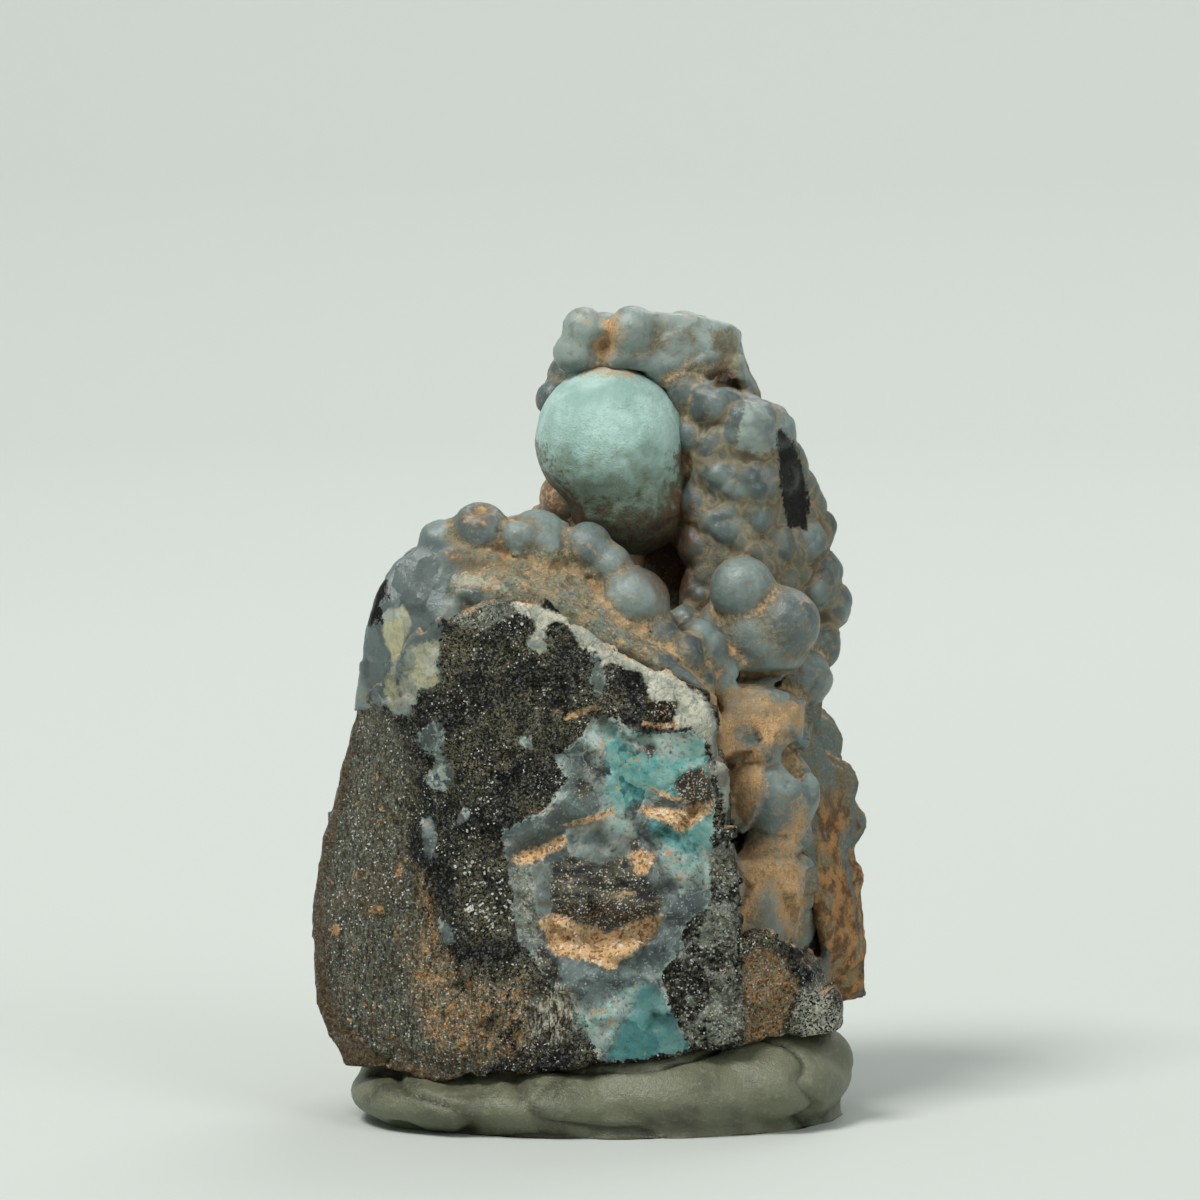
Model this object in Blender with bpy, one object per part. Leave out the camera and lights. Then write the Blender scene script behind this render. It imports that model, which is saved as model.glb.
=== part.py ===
"""Shattuckite ball on a botryoidal chalcedony crust and dark rock matrix, standing on a pad of putty.

Lengths below are in millimetres and become metres when a mesh is made. +Z is up and the sawn, dark
front face of the matrix looks along -Y. The stone leans in its putty as it stands on display.
"""

import math

import bmesh
import bpy
from mathutils import Vector, noise

MM = 0.001

# Driving dimensions, in millimetres.
GAP = 0.3                      # clearance between touching pieces
BALL_RADIUS = 3.42
BALL_CENTRE = Vector((0.9, 2.0, 30.6))
BALL_FOOT_CENTRE = Vector((1.6, 2.5, 28.1))
BALL_FOOT_RADIUS = 3.0
SAWN_LOW = Vector((-6.2, 0.0, 2.4))      # lowest corner of the sawn underside
SAWN_RISE = 0.11                          # rise of the sawn underside per millimetre along +X

# Heights and wavelengths of the broken and weathered surfaces.
ROCK_WAVE = (0.28, 3.2)
CRUST_WAVE = (0.10, 1.5)
BALL_WAVE = (0.10, 1.6)
PUTTY_WAVE = (0.22, 3.4)
SHADING_ANGLE = math.radians(35)

# Voxel sizes and triangle budgets of the fused solids.
ROCK_VOXEL = 0.42
CRUST_VOXEL = 0.26
BALL_VOXEL = 0.3
PUTTY_VOXEL = 0.4
CUTTER_VOXEL = 0.36
CUTTER_REACH = 40.0
ROCK_TRIANGLES = 2200
CRUST_TRIANGLES = 3800
BALL_TRIANGLES = 900
PUTTY_TRIANGLES = 1000


def sawn_height(x):
    """Height of the sawn underside of the stone at x."""
    return SAWN_LOW.z + SAWN_RISE * (x - SAWN_LOW.x)


# The matrix: convex blocks, each given by its corners.

FRONT_BLOCK = [
    (-6.9, -6.4, 23.0), (-4.0, -6.3, 24.3), (-2.6, -6.6, 24.0), (2.2, -6.9, 21.3), (5.3, -6.8, 19.8),
    (6.1, -6.9, 15.5), (6.7, -7.0, 10.6), (6.9, -7.0, 3.9), (0.5, -7.4, 3.2), (-6.2, -7.2, 2.4),
    (-10.6, -2.7, 18.9), (-11.8, -2.2, 13.6), (-12.6, -1.6, 9.5), (-12.4, -2.9, 5.3), (-11.2, -4.0, 2.6),
    (-10.9, 2.6, 16.8), (-11.6, 3.4, 9.0), (-10.2, 3.0, 3.0), (-6.0, -2.0, 23.3), (1.5, -2.4, 20.8),
    (5.2, -2.6, 18.2), (5.6, 1.5, 14.0), (6.2, 2.5, 4.2), (-6.0, 3.5, 20.5), (2.0, 3.5, 17.5),
]
RIGHT_FOOT = [
    (6.0, -6.9, 8.0), (7.9, -6.6, 9.0), (9.4, -5.7, 8.2), (11.0, -4.6, 5.7), (11.1, -4.5, 4.4),
    (6.0, -6.9, 3.9), (11.2, 3.0, 4.5), (10.4, 3.5, 6.6), (6.0, 3.0, 8.2), (6.0, 3.0, 3.9),
]
REAR_BASE = [
    (-10.4, 2.0, 3.1), (-10.9, 2.0, 13.0), (-9.6, 6.6, 5.2), (-8.6, 7.4, 12.4), (-9.8, 3.2, 17.6),
    (-4.6, 8.8, 3.8), (-3.2, 9.6, 12.0), (3.4, 9.2, 4.0), (4.6, 9.6, 13.6), (9.6, 8.2, 4.4),
    (12.9, 4.8, 4.5), (12.7, 4.2, 6.2), (12.5, 5.4, 11.0), (10.2, 8.4, 12.8), (-6.2, 7.2, 18.6),
    (6.0, 2.0, 16.0), (-6.0, 2.0, 19.4), (10.6, 2.6, 4.5), (0.0, 1.0, 3.2),
]
LOWER_WALL = [
    (-6.8, 3.4, 12.0), (-7.0, 6.0, 20.4), (-5.0, 5.6, 23.4), (-3.4, 5.0, 25.2), (10.6, 4.9, 23.0),
    (10.3, 5.0, 21.5), (10.0, 4.4, 17.4), (10.9, 5.2, 10.0), (9.0, 8.8, 18.6), (-4.4, 8.4, 20.0),
    (2.6, 9.5, 18.0), (3.4, 9.9, 9.0), (3.0, 1.9, 17.0), (6.2, 1.9, 22.0), (-5.4, 2.4, 18.0),
    (-6.4, 8.4, 9.0), (9.4, 8.8, 9.0), (6.4, 0.6, 9.0), (8.8, 8.2, 23.0), (-2.4, 7.8, 25.0),
]
UPPER_WALL = [
    (-2.6, 4.9, 25.6), (-1.6, 4.8, 28.4), (-1.3, 5.2, 32.2), (1.2, 4.6, 35.1), (6.3, 3.8, 34.7),
    (6.9, 3.7, 32.9), (8.6, 3.6, 31.0), (10.6, 4.2, 28.4), (11.3, 4.7, 26.3), (10.9, 5.0, 21.0),
    (6.0, 6.6, 34.2), (1.8, 7.0, 33.6), (-0.8, 7.6, 29.0), (8.6, 7.9, 27.2), (9.2, 8.6, 20.0),
    (-2.0, 8.6, 21.0), (3.0, 9.4, 19.0), (5.4, 2.2, 24.0), (-2.4, 4.0, 20.0),
]
FLANK = [
    (9.2, 1.6, 17.2), (10.4, 2.6, 17.2), (11.7, 3.8, 14.6), (12.0, 3.0, 10.0), (12.7, 3.9, 6.2),
    (9.4, 0.6, 12.0), (10.8, 0.4, 7.6), (9.0, 5.0, 16.6), (12.4, 5.8, 12.0), (11.6, 5.0, 7.0),
    (11.0, 1.2, 5.2),
]
ROCK_BLOCKS = [FRONT_BLOCK, RIGHT_FOOT, REAR_BASE, LOWER_WALL, UPPER_WALL, FLANK]

# Rounded swellings of the rock on the right flank and behind: centre, then radius.
ROCK_LUMPS = [
    ((11.1, 4.6, 14.4), 1.45), ((11.5, 4.8, 12.6), 1.35), ((11.7, 4.2, 10.2), 1.05), ((9.4, 6.7, 15.6), 2.4),
    ((-6.2, 5.3, 15.0), 3.1), ((-4.6, 5.9, 19.4), 2.8), ((6.2, 6.9, 22.4), 2.7), ((3.4, 5.5, 29.4), 2.7),
]

# Chips broken out of the matrix, and the small hollow on its front face, as ellipsoids:
# centre, then radii along X, Y and Z.
ROCK_CHIPS = [
    ((0.9, -8.0, 9.3), (2.5, 1.45, 0.95)),
    ((-4.9, -8.6, 10.4), (1.9, 1.9, 3.6)),
    ((4.6, -7.9, 14.6), (1.6, 1.15, 0.5)),
    ((9.8, -6.9, 9.4), (2.0, 1.4, 1.6)),
    ((-7.4, 9.6, 9.6), (3.4, 2.3, 2.6)),
    ((3.0, 11.4, 18.8), (4.2, 2.6, 3.2)),
    ((10.6, 9.6, 24.0), (2.6, 2.6, 4.0)),
    ((0.6, 8.9, 27.4), (2.2, 1.6, 3.0)),
]

# The crust: thick chalcedony bodies that carry the lumps.

SHOULDER = [
    (-6.7, -6.3, 19.0), (-10.7, -2.6, 18.6), (-10.1, -3.2, 22.6), (-9.7, -3.2, 24.0), (-8.7, -3.2, 25.5),
    (-6.9, -3.0, 26.7), (-5.0, -3.2, 26.9), (-6.9, -6.2, 22.8), (-5.4, -5.6, 24.8), (-10.2, 1.6, 18.4),
    (-9.3, 1.8, 23.2), (-7.0, 2.2, 24.8), (-4.0, 0.6, 25.8), (-3.0, -1.0, 17.0),
]
SLOPE = [
    (-6.0, -5.9, 24.2), (-4.0, -6.1, 25.0), (-1.6, -6.4, 24.1), (2.4, -6.7, 21.7), (5.3, -6.6, 20.0),
    (-5.0, -3.2, 26.4), (-1.4, -3.4, 25.5), (1.4, -3.2, 23.1), (4.3, -2.9, 20.2), (5.9, -4.2, 18.8),
    (-4.6, 0.4, 24.6), (0.0, -0.4, 23.4), (4.0, -0.2, 19.6), (6.3, -3.4, 16.6), (6.3, -0.8, 16.0),
    (-3.0, -2.0, 18.0), (3.0, -2.0, 16.0),
]
CLEFT_FLOOR = [
    (-5.0, 0.0, 23.8), (-1.0, -1.4, 23.2), (4.4, -1.8, 19.8), (6.6, 1.0, 20.6), (3.6, 3.6, 23.6),
    (-1.4, 4.6, 25.6), (-4.6, 5.4, 23.4), (-6.8, 3.4, 21.6), (0.0, 3.0, 16.0), (6.0, 2.0, 14.0),
]
TOWER_FRONT = [
    (4.9, 0.7, 32.2), (6.4, 0.2, 31.6), (8.7, 1.2, 31.2), (9.5, 2.5, 30.3), (4.8, 1.0, 26.0),
    (4.9, 0.8, 21.2), (7.2, -0.2, 20.6), (9.6, 1.8, 25.0), (11.2, 4.0, 26.5), (10.0, 3.0, 21.4),
    (5.2, 5.2, 32.4), (8.4, 4.6, 31.0), (4.2, 5.2, 21.0), (9.4, 5.0, 21.0), (10.6, 4.9, 25.6),
]
BEHIND_BALL = [
    (-1.9, 4.4, 32.2), (-2.0, 4.4, 27.6), (-0.6, 3.6, 25.0), (3.8, 3.0, 25.0), (5.2, 4.0, 33.2),
    (0.2, 4.0, 34.0), (-1.4, 6.2, 31.8), (-2.0, 6.2, 27.6), (5.2, 6.0, 25.0), (5.2, 6.0, 33.0),
]
CAP = [
    (1.2, 0.9, 35.9), (2.4, 0.7, 36.5), (5.0, 1.0, 36.3), (6.4, 1.6, 35.9), (6.7, 1.9, 35.6), (6.9, 2.1, 34.3),
    (0.8, 0.8, 33.9), (2.6, 0.8, 33.7), (5.4, 0.9, 33.8), (1.0, 4.6, 34.2), (1.4, 4.6, 36.3), (7.0, 3.7, 35.5),
    (6.9, 3.0, 33.6), (5.2, 4.4, 33.2), (-0.2, 3.6, 34.4),
]
NECK = [
    (3.4, 2.6, 34.4), (6.9, 1.5, 34.4), (3.2, 3.2, 32.8), (4.6, 1.3, 32.0), (7.3, 1.6, 32.4), (7.0, 4.2, 34.6),
    (3.0, 4.6, 34.6), (8.0, 4.4, 31.8), (3.6, 4.6, 31.0), (4.9, 2.0, 30.4), (4.6, 2.2, 27.4), (4.0, 3.4, 26.0),
    (6.0, 3.4, 26.0),
]
UPPER_CHUNK = [
    (5.9, -3.0, 19.5), (7.6, -2.8, 19.7), (9.6, -1.4, 19.2), (9.9, -0.9, 16.8), (6.2, -3.3, 16.6),
    (8.0, -2.9, 16.4), (5.6, 1.6, 19.6), (9.8, 1.8, 18.9), (10.0, 3.8, 16.4), (5.8, 3.0, 15.0),
]
LOWER_CHUNK = [
    (6.3, -3.5, 12.3), (8.6, -2.9, 12.0), (9.5, -1.5, 11.5), (9.1, -1.9, 8.4), (6.4, -4.1, 8.0),
    (8.2, -3.4, 7.2), (6.2, 2.0, 12.0), (10.2, 2.2, 11.0), (10.6, 2.6, 7.0), (6.2, 2.0, 7.0),
]
CRUST_BLOCKS = [
    SHOULDER, SLOPE, CLEFT_FLOOR, TOWER_FRONT, BEHIND_BALL, CAP, NECK, UPPER_CHUNK, LOWER_CHUNK,
]

# Botryoidal lumps: centre, then radius.
RIDGE_LUMPS = [
    ((-4.9, -3.1, 26.8), 1.35), ((-2.4, -2.7, 26.0), 1.75), ((-3.2, -4.0, 26.6), 0.80),
    ((-0.1, -3.1, 26.0), 1.20), ((0.9, -3.4, 25.2), 1.10), ((2.0, -3.9, 23.6), 1.65),
    ((2.9, -4.3, 22.1), 1.20), ((3.8, -4.1, 21.1), 1.30), ((4.7, -3.8, 20.0), 0.95), ((4.9, -2.8, 21.4), 1.30),
    ((5.9, -2.2, 20.2), 1.00), ((-6.6, -2.6, 26.1), 1.20), ((-7.5, -1.0, 24.6), 1.35),
    ((-5.8, 0.2, 25.6), 1.50), ((-3.2, -0.8, 26.0), 1.40), ((-1.2, -0.8, 25.0), 1.20),
    ((-7.8, 1.4, 24.0), 1.20), ((4.3, 0.4, 22.4), 0.75), ((4.7, -0.4, 21.2), 0.70),
    ((2.9, -0.6, 22.3), 1.00), ((-4.4, 2.6, 24.6), 1.40), ((-2.4, 2.2, 24.8), 1.10),
]
TOWER_LUMPS = [
    ((4.6, 2.0, 32.9), 1.40), ((5.8, 1.4, 32.3), 1.40), ((6.9, 1.3, 31.3), 1.51), ((8.1, 1.7, 31.0), 1.16),
    ((4.7, 1.6, 30.9), 0.99), ((5.7, 1.2, 30.3), 1.05), ((6.1, 1.1, 29.1), 1.22), ((7.2, 1.1, 28.6), 1.22),
    ((8.4, 2.0, 28.8), 1.22), ((5.0, 1.5, 27.8), 1.05), ((6.2, 1.1, 26.6), 1.22), ((7.3, 1.1, 27.1), 1.05),
    ((8.2, 1.9, 25.8), 1.28), ((5.0, 1.6, 25.8), 1.11), ((9.5, 3.0, 25.9), 1.22), ((10.2, 3.8, 24.2), 1.28),
    ((7.1, 0.9, 25.5), 0.93), ((10.7, 4.4, 22.8), 1.28), ((5.1, 1.5, 23.7), 1.05), ((5.0, 1.5, 22.1), 1.05),
]
BIG_LUMPS = [
    ((6.9, -1.1, 24.0), 1.52), ((8.7, -1.0, 22.4), 1.75), ((7.8, -0.3, 21.9), 2.30), ((6.4, 0.0, 21.8), 1.60),
    ((10.0, 3.6, 23.6), 1.30), ((10.2, 3.8, 21.0), 1.35), ((9.6, 2.2, 19.6), 1.50), ((8.1, -1.1, 14.7), 2.15),
    ((8.2, -0.9, 13.2), 1.75),
]
CAP_LUMPS = [
    ((-0.3, 1.5, 35.7), 1.00), ((-0.7, 1.6, 34.6), 1.00), ((0.3, 2.2, 34.3), 0.95), ((1.9, 1.2, 35.6), 1.15),
    ((4.1, 2.7, 34.9), 1.55), ((-1.7, 3.4, 32.4), 0.85), ((0.6, 3.8, 35.4), 1.05), ((-0.9, 4.2, 33.4), 1.10),
    ((3.3, 1.9, 33.8), 0.90),
]
SEAT_LUMPS = [
    ((-0.8, 3.4, 27.6), 1.60), ((-1.1, 2.2, 27.8), 1.30), ((0.2, 1.9, 26.4), 1.25), ((1.4, 2.4, 25.2), 1.20),
    ((-1.6, 4.6, 26.2), 1.50), ((4.2, 2.4, 26.6), 1.00), ((4.3, 2.6, 29.4), 1.10), ((3.0, 1.0, 24.0), 0.70),
]
CRUST_LUMPS = RIDGE_LUMPS + TOWER_LUMPS + BIG_LUMPS + CAP_LUMPS + SEAT_LUMPS

# Broken hollows in the crust: centre, then radii along X, Y and Z.
CRUST_CHIPS = [
    ((6.0, 0.5, 33.2), (0.8, 1.5, 0.20)),
    ((6.9, 0.6, 33.0), (0.7, 1.7, 0.36)),
    ((8.9, -1.8, 20.05), (3.0, 1.9, 0.34)),
    ((-4.9, -3.9, 28.15), (0.75, 0.9, 0.62)),
    ((9.9, -1.6, 16.2), (1.2, 1.3, 0.9)),
]

# Putty: overlapping soft lobes, centre and radii along X, Y and Z.
PUTTY_LOBES = [
    ((-5.6, -2.2, 1.2), (5.3, 6.0, 1.75)),
    ((-1.6, -2.6, 1.3), (6.6, 6.1, 2.1)),
    ((3.4, -2.4, 1.6), (6.6, 6.2, 2.5)),
    ((7.4, -1.6, 1.9), (4.6, 5.9, 2.5)),
    ((9.6, -0.8, 2.3), (2.4, 4.4, 1.9)),
    ((4.8, 3.4, 1.8), (5.0, 4.0, 2.2)),
    ((-3.8, 3.2, 1.5), (5.0, 4.0, 2.0)),
    ((-8.2, -0.8, 1.5), (2.3, 4.2, 1.5)),
]
PUTTY_CORE_MIDDLE = (0.9, -1.2)
PUTTY_CORE_SIZE = (10.6, 7.1)
PUTTY_CORE_HEIGHTS = (-0.6, 1.7)
PUTTY_CORE_CORNERS = 20
FOLD_LOBE = ((10.2, -2.3, 2.7), (1.85, 1.9, 1.45))


def mesh_object(name, bm, scale=MM):
    """Turns a bmesh in millimetres into an object in metres."""
    bmesh.ops.recalc_face_normals(bm, faces=bm.faces)
    bmesh.ops.scale(bm, vec=(scale,) * 3, verts=bm.verts)
    mesh = bpy.data.meshes.new(name)
    bm.to_mesh(mesh)
    bm.free()
    obj = bpy.data.objects.new(name, mesh)
    bpy.context.scene.collection.objects.link(obj)
    return obj


def add_hull(bm, corners):
    """Adds the convex block that spans the corners."""
    verts = [bm.verts.new(corner) for corner in corners]
    made = bmesh.ops.convex_hull(bm, input=verts)
    inner = set(made["geom_interior"]) | set(made["geom_unused"])
    bmesh.ops.delete(bm, geom=[v for v in inner if isinstance(v, bmesh.types.BMVert)], context="VERTS")


def add_ball(bm, centre, radii, subdivisions=3):
    """Adds an ellipsoid."""
    made = bmesh.ops.create_icosphere(bm, subdivisions=subdivisions, radius=1.0)
    bmesh.ops.scale(bm, vec=radii, verts=made["verts"])
    bmesh.ops.translate(bm, vec=centre, verts=made["verts"])


def bake_modifiers(obj):
    """Replaces an object's mesh by what its modifiers make of it."""
    graph = bpy.context.evaluated_depsgraph_get()
    mesh = bpy.data.meshes.new_from_object(obj.evaluated_get(graph))
    obj.modifiers.clear()
    old = obj.data
    obj.data = mesh
    bpy.data.meshes.remove(old)


def keep_largest(obj):
    """Removes the crumbs that a cut leaves beside the main body."""
    bm = bmesh.new()
    bm.from_mesh(obj.data)
    unseen = set(bm.verts)
    bodies = []
    while unseen:
        stack = [unseen.pop()]
        body = list(stack)
        while stack:
            vert = stack.pop()
            for edge in vert.link_edges:
                other = edge.other_vert(vert)
                if other in unseen:
                    unseen.remove(other)
                    stack.append(other)
                    body.append(other)
        bodies.append(body)
    bodies.sort(key=len, reverse=True)
    crumbs = [vert for body in bodies[1:] for vert in body]
    bmesh.ops.delete(bm, geom=crumbs, context="VERTS")
    bmesh.ops.dissolve_degenerate(bm, dist=1e-7, edges=bm.edges)
    bmesh.ops.triangulate(bm, faces=[face for face in bm.faces if len(face.verts) > 3])
    bm.to_mesh(obj.data)
    bm.free()


def remesh(obj, voxel):
    """Fuses overlapping shapes into one skin of small faces."""
    modifier = obj.modifiers.new("fuse", "REMESH")
    modifier.mode = "VOXEL"
    modifier.voxel_size = voxel * MM
    bake_modifiers(obj)
    keep_largest(obj)


def thin_out(obj, triangles):
    """Brings a fused skin down to a number of triangles, keeping its shape."""
    modifier = obj.modifiers.new("thin", "DECIMATE")
    quads = sum(len(face.vertices) - 2 for face in obj.data.polygons)
    modifier.ratio = min(1.0, triangles / quads)
    modifier.use_collapse_triangulate = True
    bake_modifiers(obj)


def boolean(obj, cutter, operation):
    """Applies a Boolean with the cutter, which is then removed."""
    modifier = obj.modifiers.new("boolean", "BOOLEAN")
    modifier.object = cutter
    modifier.operation = operation
    modifier.solver = "EXACT"
    bake_modifiers(obj)
    bpy.data.objects.remove(cutter)


def carve(obj, chips):
    """Cuts the ellipsoids out of an object, one at a time because they may overlap."""
    for centre, radii in chips:
        bm = bmesh.new()
        add_ball(bm, centre, radii)
        boolean(obj, mesh_object("chip_cutter", bm), "DIFFERENCE")


def grown(obj, distance, triangles):
    """A copy of an object with its skin moved out along its normals, as a clean coarse solid."""
    copy = obj.copy()
    copy.data = obj.data.copy()
    copy.name = obj.name + "_cutter"
    bpy.context.scene.collection.objects.link(copy)
    modifier = copy.modifiers.new("grow", "DISPLACE")
    modifier.strength = distance * MM
    modifier.mid_level = 0.0
    bake_modifiers(copy)
    remesh(copy, CUTTER_VOXEL)
    thin_out(copy, triangles)
    return copy


def roughen(obj, wave, seed):
    """Moves points along their normals by smooth noise of a height and a wavelength."""
    height, length = wave
    offset = Vector((seed * 7.3, seed * 3.1, seed * 5.7))
    mesh = obj.data
    normals = [vertex.normal.copy() for vertex in mesh.vertices]
    for vertex, normal in zip(mesh.vertices, normals):
        place = vertex.co / MM
        sample = noise.fractal(place / length + offset, 1.0, 2.0, 3)
        vertex.co += normal * (height * sample * MM)


def below_saw_cut(name):
    """A large block whose top is the plane of the sawn underside."""
    bm = bmesh.new()
    corners = []
    for x in (-CUTTER_REACH, CUTTER_REACH):
        for y in (-CUTTER_REACH, CUTTER_REACH):
            corners.append((x, y, sawn_height(x)))
            corners.append((x, y, sawn_height(x) - CUTTER_REACH))
    add_hull(bm, corners)
    return mesh_object(name, bm)


def below_floor(name):
    """A large block whose top is the level that the putty is pressed flat on."""
    bm = bmesh.new()
    corners = []
    for x in (-CUTTER_REACH, CUTTER_REACH):
        for y in (-CUTTER_REACH, CUTTER_REACH):
            corners.append((x, y, 0.0))
            corners.append((x, y, -CUTTER_REACH))
    add_hull(bm, corners)
    return mesh_object(name, bm)


def finish_material(obj, colour, roughness, metallic=0.0):
    """Gives a piece its own plain material."""
    material = bpy.data.materials.new(obj.name)
    material.use_nodes = True
    shader = material.node_tree.nodes["Principled BSDF"]
    shader.inputs["Base Color"].default_value = (*colour, 1.0)
    shader.inputs["Roughness"].default_value = roughness
    shader.inputs["Metallic"].default_value = metallic
    material.diffuse_color = (*colour, 1.0)
    obj.data.materials.clear()
    obj.data.materials.append(material)


def make_matrix(ball):
    """Dark rock: the sawn front block, its right foot, the rear base and the wall behind the crust."""
    bm = bmesh.new()
    for block in ROCK_BLOCKS:
        add_hull(bm, block)
    for centre, radius in ROCK_LUMPS:
        add_ball(bm, centre, (radius,) * 3)
    rock = mesh_object("matrix", bm)
    remesh(rock, ROCK_VOXEL)
    roughen(rock, ROCK_WAVE, seed=1)
    remesh(rock, ROCK_VOXEL)
    carve(rock, ROCK_CHIPS)
    thin_out(rock, ROCK_TRIANGLES)
    boolean(rock, below_saw_cut("saw_cutter"), "DIFFERENCE")
    boolean(rock, grown(ball, GAP, BALL_TRIANGLES), "DIFFERENCE")
    keep_largest(rock)
    return rock


def make_ball():
    """The shattuckite ball, with the lobe that it grew from."""
    bm = bmesh.new()
    add_ball(bm, BALL_CENTRE, (BALL_RADIUS,) * 3, subdivisions=4)
    add_ball(bm, BALL_FOOT_CENTRE, (BALL_FOOT_RADIUS,) * 3, subdivisions=4)
    ball = mesh_object("shattuckite_ball", bm)
    remesh(ball, BALL_VOXEL)
    smooth = ball.modifiers.new("smooth", "SMOOTH")
    smooth.iterations = 4
    bake_modifiers(ball)
    roughen(ball, BALL_WAVE, seed=3)
    thin_out(ball, BALL_TRIANGLES)
    return ball


def make_crust(rock, ball):
    """Chalcedony: thick bodies and round lumps in one skin, fitted over the rock and round the ball."""
    bm = bmesh.new()
    for block in CRUST_BLOCKS:
        add_hull(bm, block)
    for centre, radius in CRUST_LUMPS:
        add_ball(bm, centre, (radius,) * 3)
    crust = mesh_object("chalcedony_crust", bm)
    remesh(crust, CRUST_VOXEL)
    roughen(crust, CRUST_WAVE, seed=2)
    remesh(crust, CRUST_VOXEL)
    carve(crust, CRUST_CHIPS)
    thin_out(crust, CRUST_TRIANGLES)
    boolean(crust, grown(rock, GAP, ROCK_TRIANGLES), "DIFFERENCE")
    boolean(crust, grown(ball, GAP, BALL_TRIANGLES), "DIFFERENCE")
    keep_largest(crust)
    return crust


def make_putty():
    """A pad of soft putty, pressed flat below and moulded to the sawn underside above."""
    bm = bmesh.new()
    for centre, radii in PUTTY_LOBES + [FOLD_LOBE]:
        add_ball(bm, centre, radii, subdivisions=4)
    core = []
    for step in range(PUTTY_CORE_CORNERS):
        angle = math.tau * step / PUTTY_CORE_CORNERS
        x = PUTTY_CORE_MIDDLE[0] + PUTTY_CORE_SIZE[0] * math.cos(angle)
        y = PUTTY_CORE_MIDDLE[1] + PUTTY_CORE_SIZE[1] * math.sin(angle)
        core += [(x, y, z) for z in PUTTY_CORE_HEIGHTS]
    add_hull(bm, core)
    putty = mesh_object("putty_pad", bm)
    remesh(putty, PUTTY_VOXEL)
    roughen(putty, PUTTY_WAVE, seed=5)
    remesh(putty, PUTTY_VOXEL)
    thin_out(putty, PUTTY_TRIANGLES)
    boolean(putty, below_floor("floor_cutter"), "DIFFERENCE")
    return putty


def main():
    for obj in list(bpy.data.objects):
        bpy.data.objects.remove(obj)
    ball = make_ball()
    rock = make_matrix(ball)
    crust = make_crust(rock, ball)
    putty = make_putty()
    boolean(putty, grown(rock, GAP, ROCK_TRIANGLES), "DIFFERENCE")
    boolean(putty, grown(crust, GAP, CRUST_TRIANGLES), "DIFFERENCE")
    keep_largest(putty)

    finish_material(rock, (0.055, 0.048, 0.042), 0.55, 0.1)
    finish_material(crust, (0.20, 0.23, 0.24), 0.42)
    finish_material(ball, (0.36, 0.60, 0.58), 0.5)
    finish_material(putty, (0.42, 0.42, 0.36), 0.6)

    # The origin is the middle of the part's box, at the level of the surface it stands on.
    pieces = [rock, crust, ball, putty]
    points = [vertex.co for piece in pieces for vertex in piece.data.vertices]
    centre_x = (min(p.x for p in points) + max(p.x for p in points)) / 2
    centre_y = (min(p.y for p in points) + max(p.y for p in points)) / 2
    for piece in pieces:
        for vertex in piece.data.vertices:
            vertex.co -= Vector((centre_x, centre_y, 0.0))
        piece.data.shade_smooth()
        piece.data.set_sharp_from_angle(angle=SHADING_ANGLE)


main()
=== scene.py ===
"""Looks of a shattuckite ball on botryoidal chalcedony and dark rock, standing in a pad of putty.

Shapes are worked out in millimetres, in the frame that the part is modelled in, and become metres when
a mesh is made. +Z is up and the dark front face of the rock looks along -Y.
"""

import math

import bmesh
import bpy
import numpy as np
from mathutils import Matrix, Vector


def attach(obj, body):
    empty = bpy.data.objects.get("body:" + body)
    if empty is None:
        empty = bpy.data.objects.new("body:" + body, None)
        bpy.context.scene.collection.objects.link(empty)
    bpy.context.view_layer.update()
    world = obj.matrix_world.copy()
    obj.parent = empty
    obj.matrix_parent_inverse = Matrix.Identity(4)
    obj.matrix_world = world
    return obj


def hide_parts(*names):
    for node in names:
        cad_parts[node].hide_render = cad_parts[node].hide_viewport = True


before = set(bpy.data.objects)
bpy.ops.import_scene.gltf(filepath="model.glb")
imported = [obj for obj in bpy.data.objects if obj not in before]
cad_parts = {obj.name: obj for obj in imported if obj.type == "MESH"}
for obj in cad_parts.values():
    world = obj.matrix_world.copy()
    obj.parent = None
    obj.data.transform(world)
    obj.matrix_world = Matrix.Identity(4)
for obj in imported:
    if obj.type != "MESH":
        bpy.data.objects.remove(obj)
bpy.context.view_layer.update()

MM = 0.001

# Middle of the part's box, in the millimetres that the shapes below are given in.
ORIGIN = np.array((0.1076, 0.6255, 0.0))

# Camera: it looks along +Y and a little down at the stone. Distance in millimetres from the target.
TARGET = np.array((0.45, 0.0, 23.4))
CAMERA_TILT = math.radians(5.0)
CAMERA_DISTANCE = 300.0
LENS = 198.0
SENSOR_WIDTH = 36.0

# The ball, and the waist and the foot that it sits on: centre, then radius.
BALL_CENTRE = (0.9, 2.0, 30.6)
BALL_RADIUS = 3.42
BALL_PARTS = [(BALL_CENTRE, BALL_RADIUS), ((1.15, 2.2, 29.5), 3.1), ((1.6, 2.5, 28.1), 3.0)]

# The sawn underside of the rock: X and Z of a place on it, and its rise for each millimetre along X.
SAWN_LOW = (-6.2, 2.4)
SAWN_RISE = 0.11

# Voxel sizes of the fused skins.
ROCK_VOXEL = 0.19
CRUST_VOXEL = 0.15
BALL_VOXEL = 0.12
PUTTY_VOXEL = 0.2

# The crust: rounds of smoothing, the draw of the lumps' own tones, and the spacing of its small lumps.
CRUST_SOFTENING = 12
TONE_SEED = 1858
GRAPE_SIZE = 0.95

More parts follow.
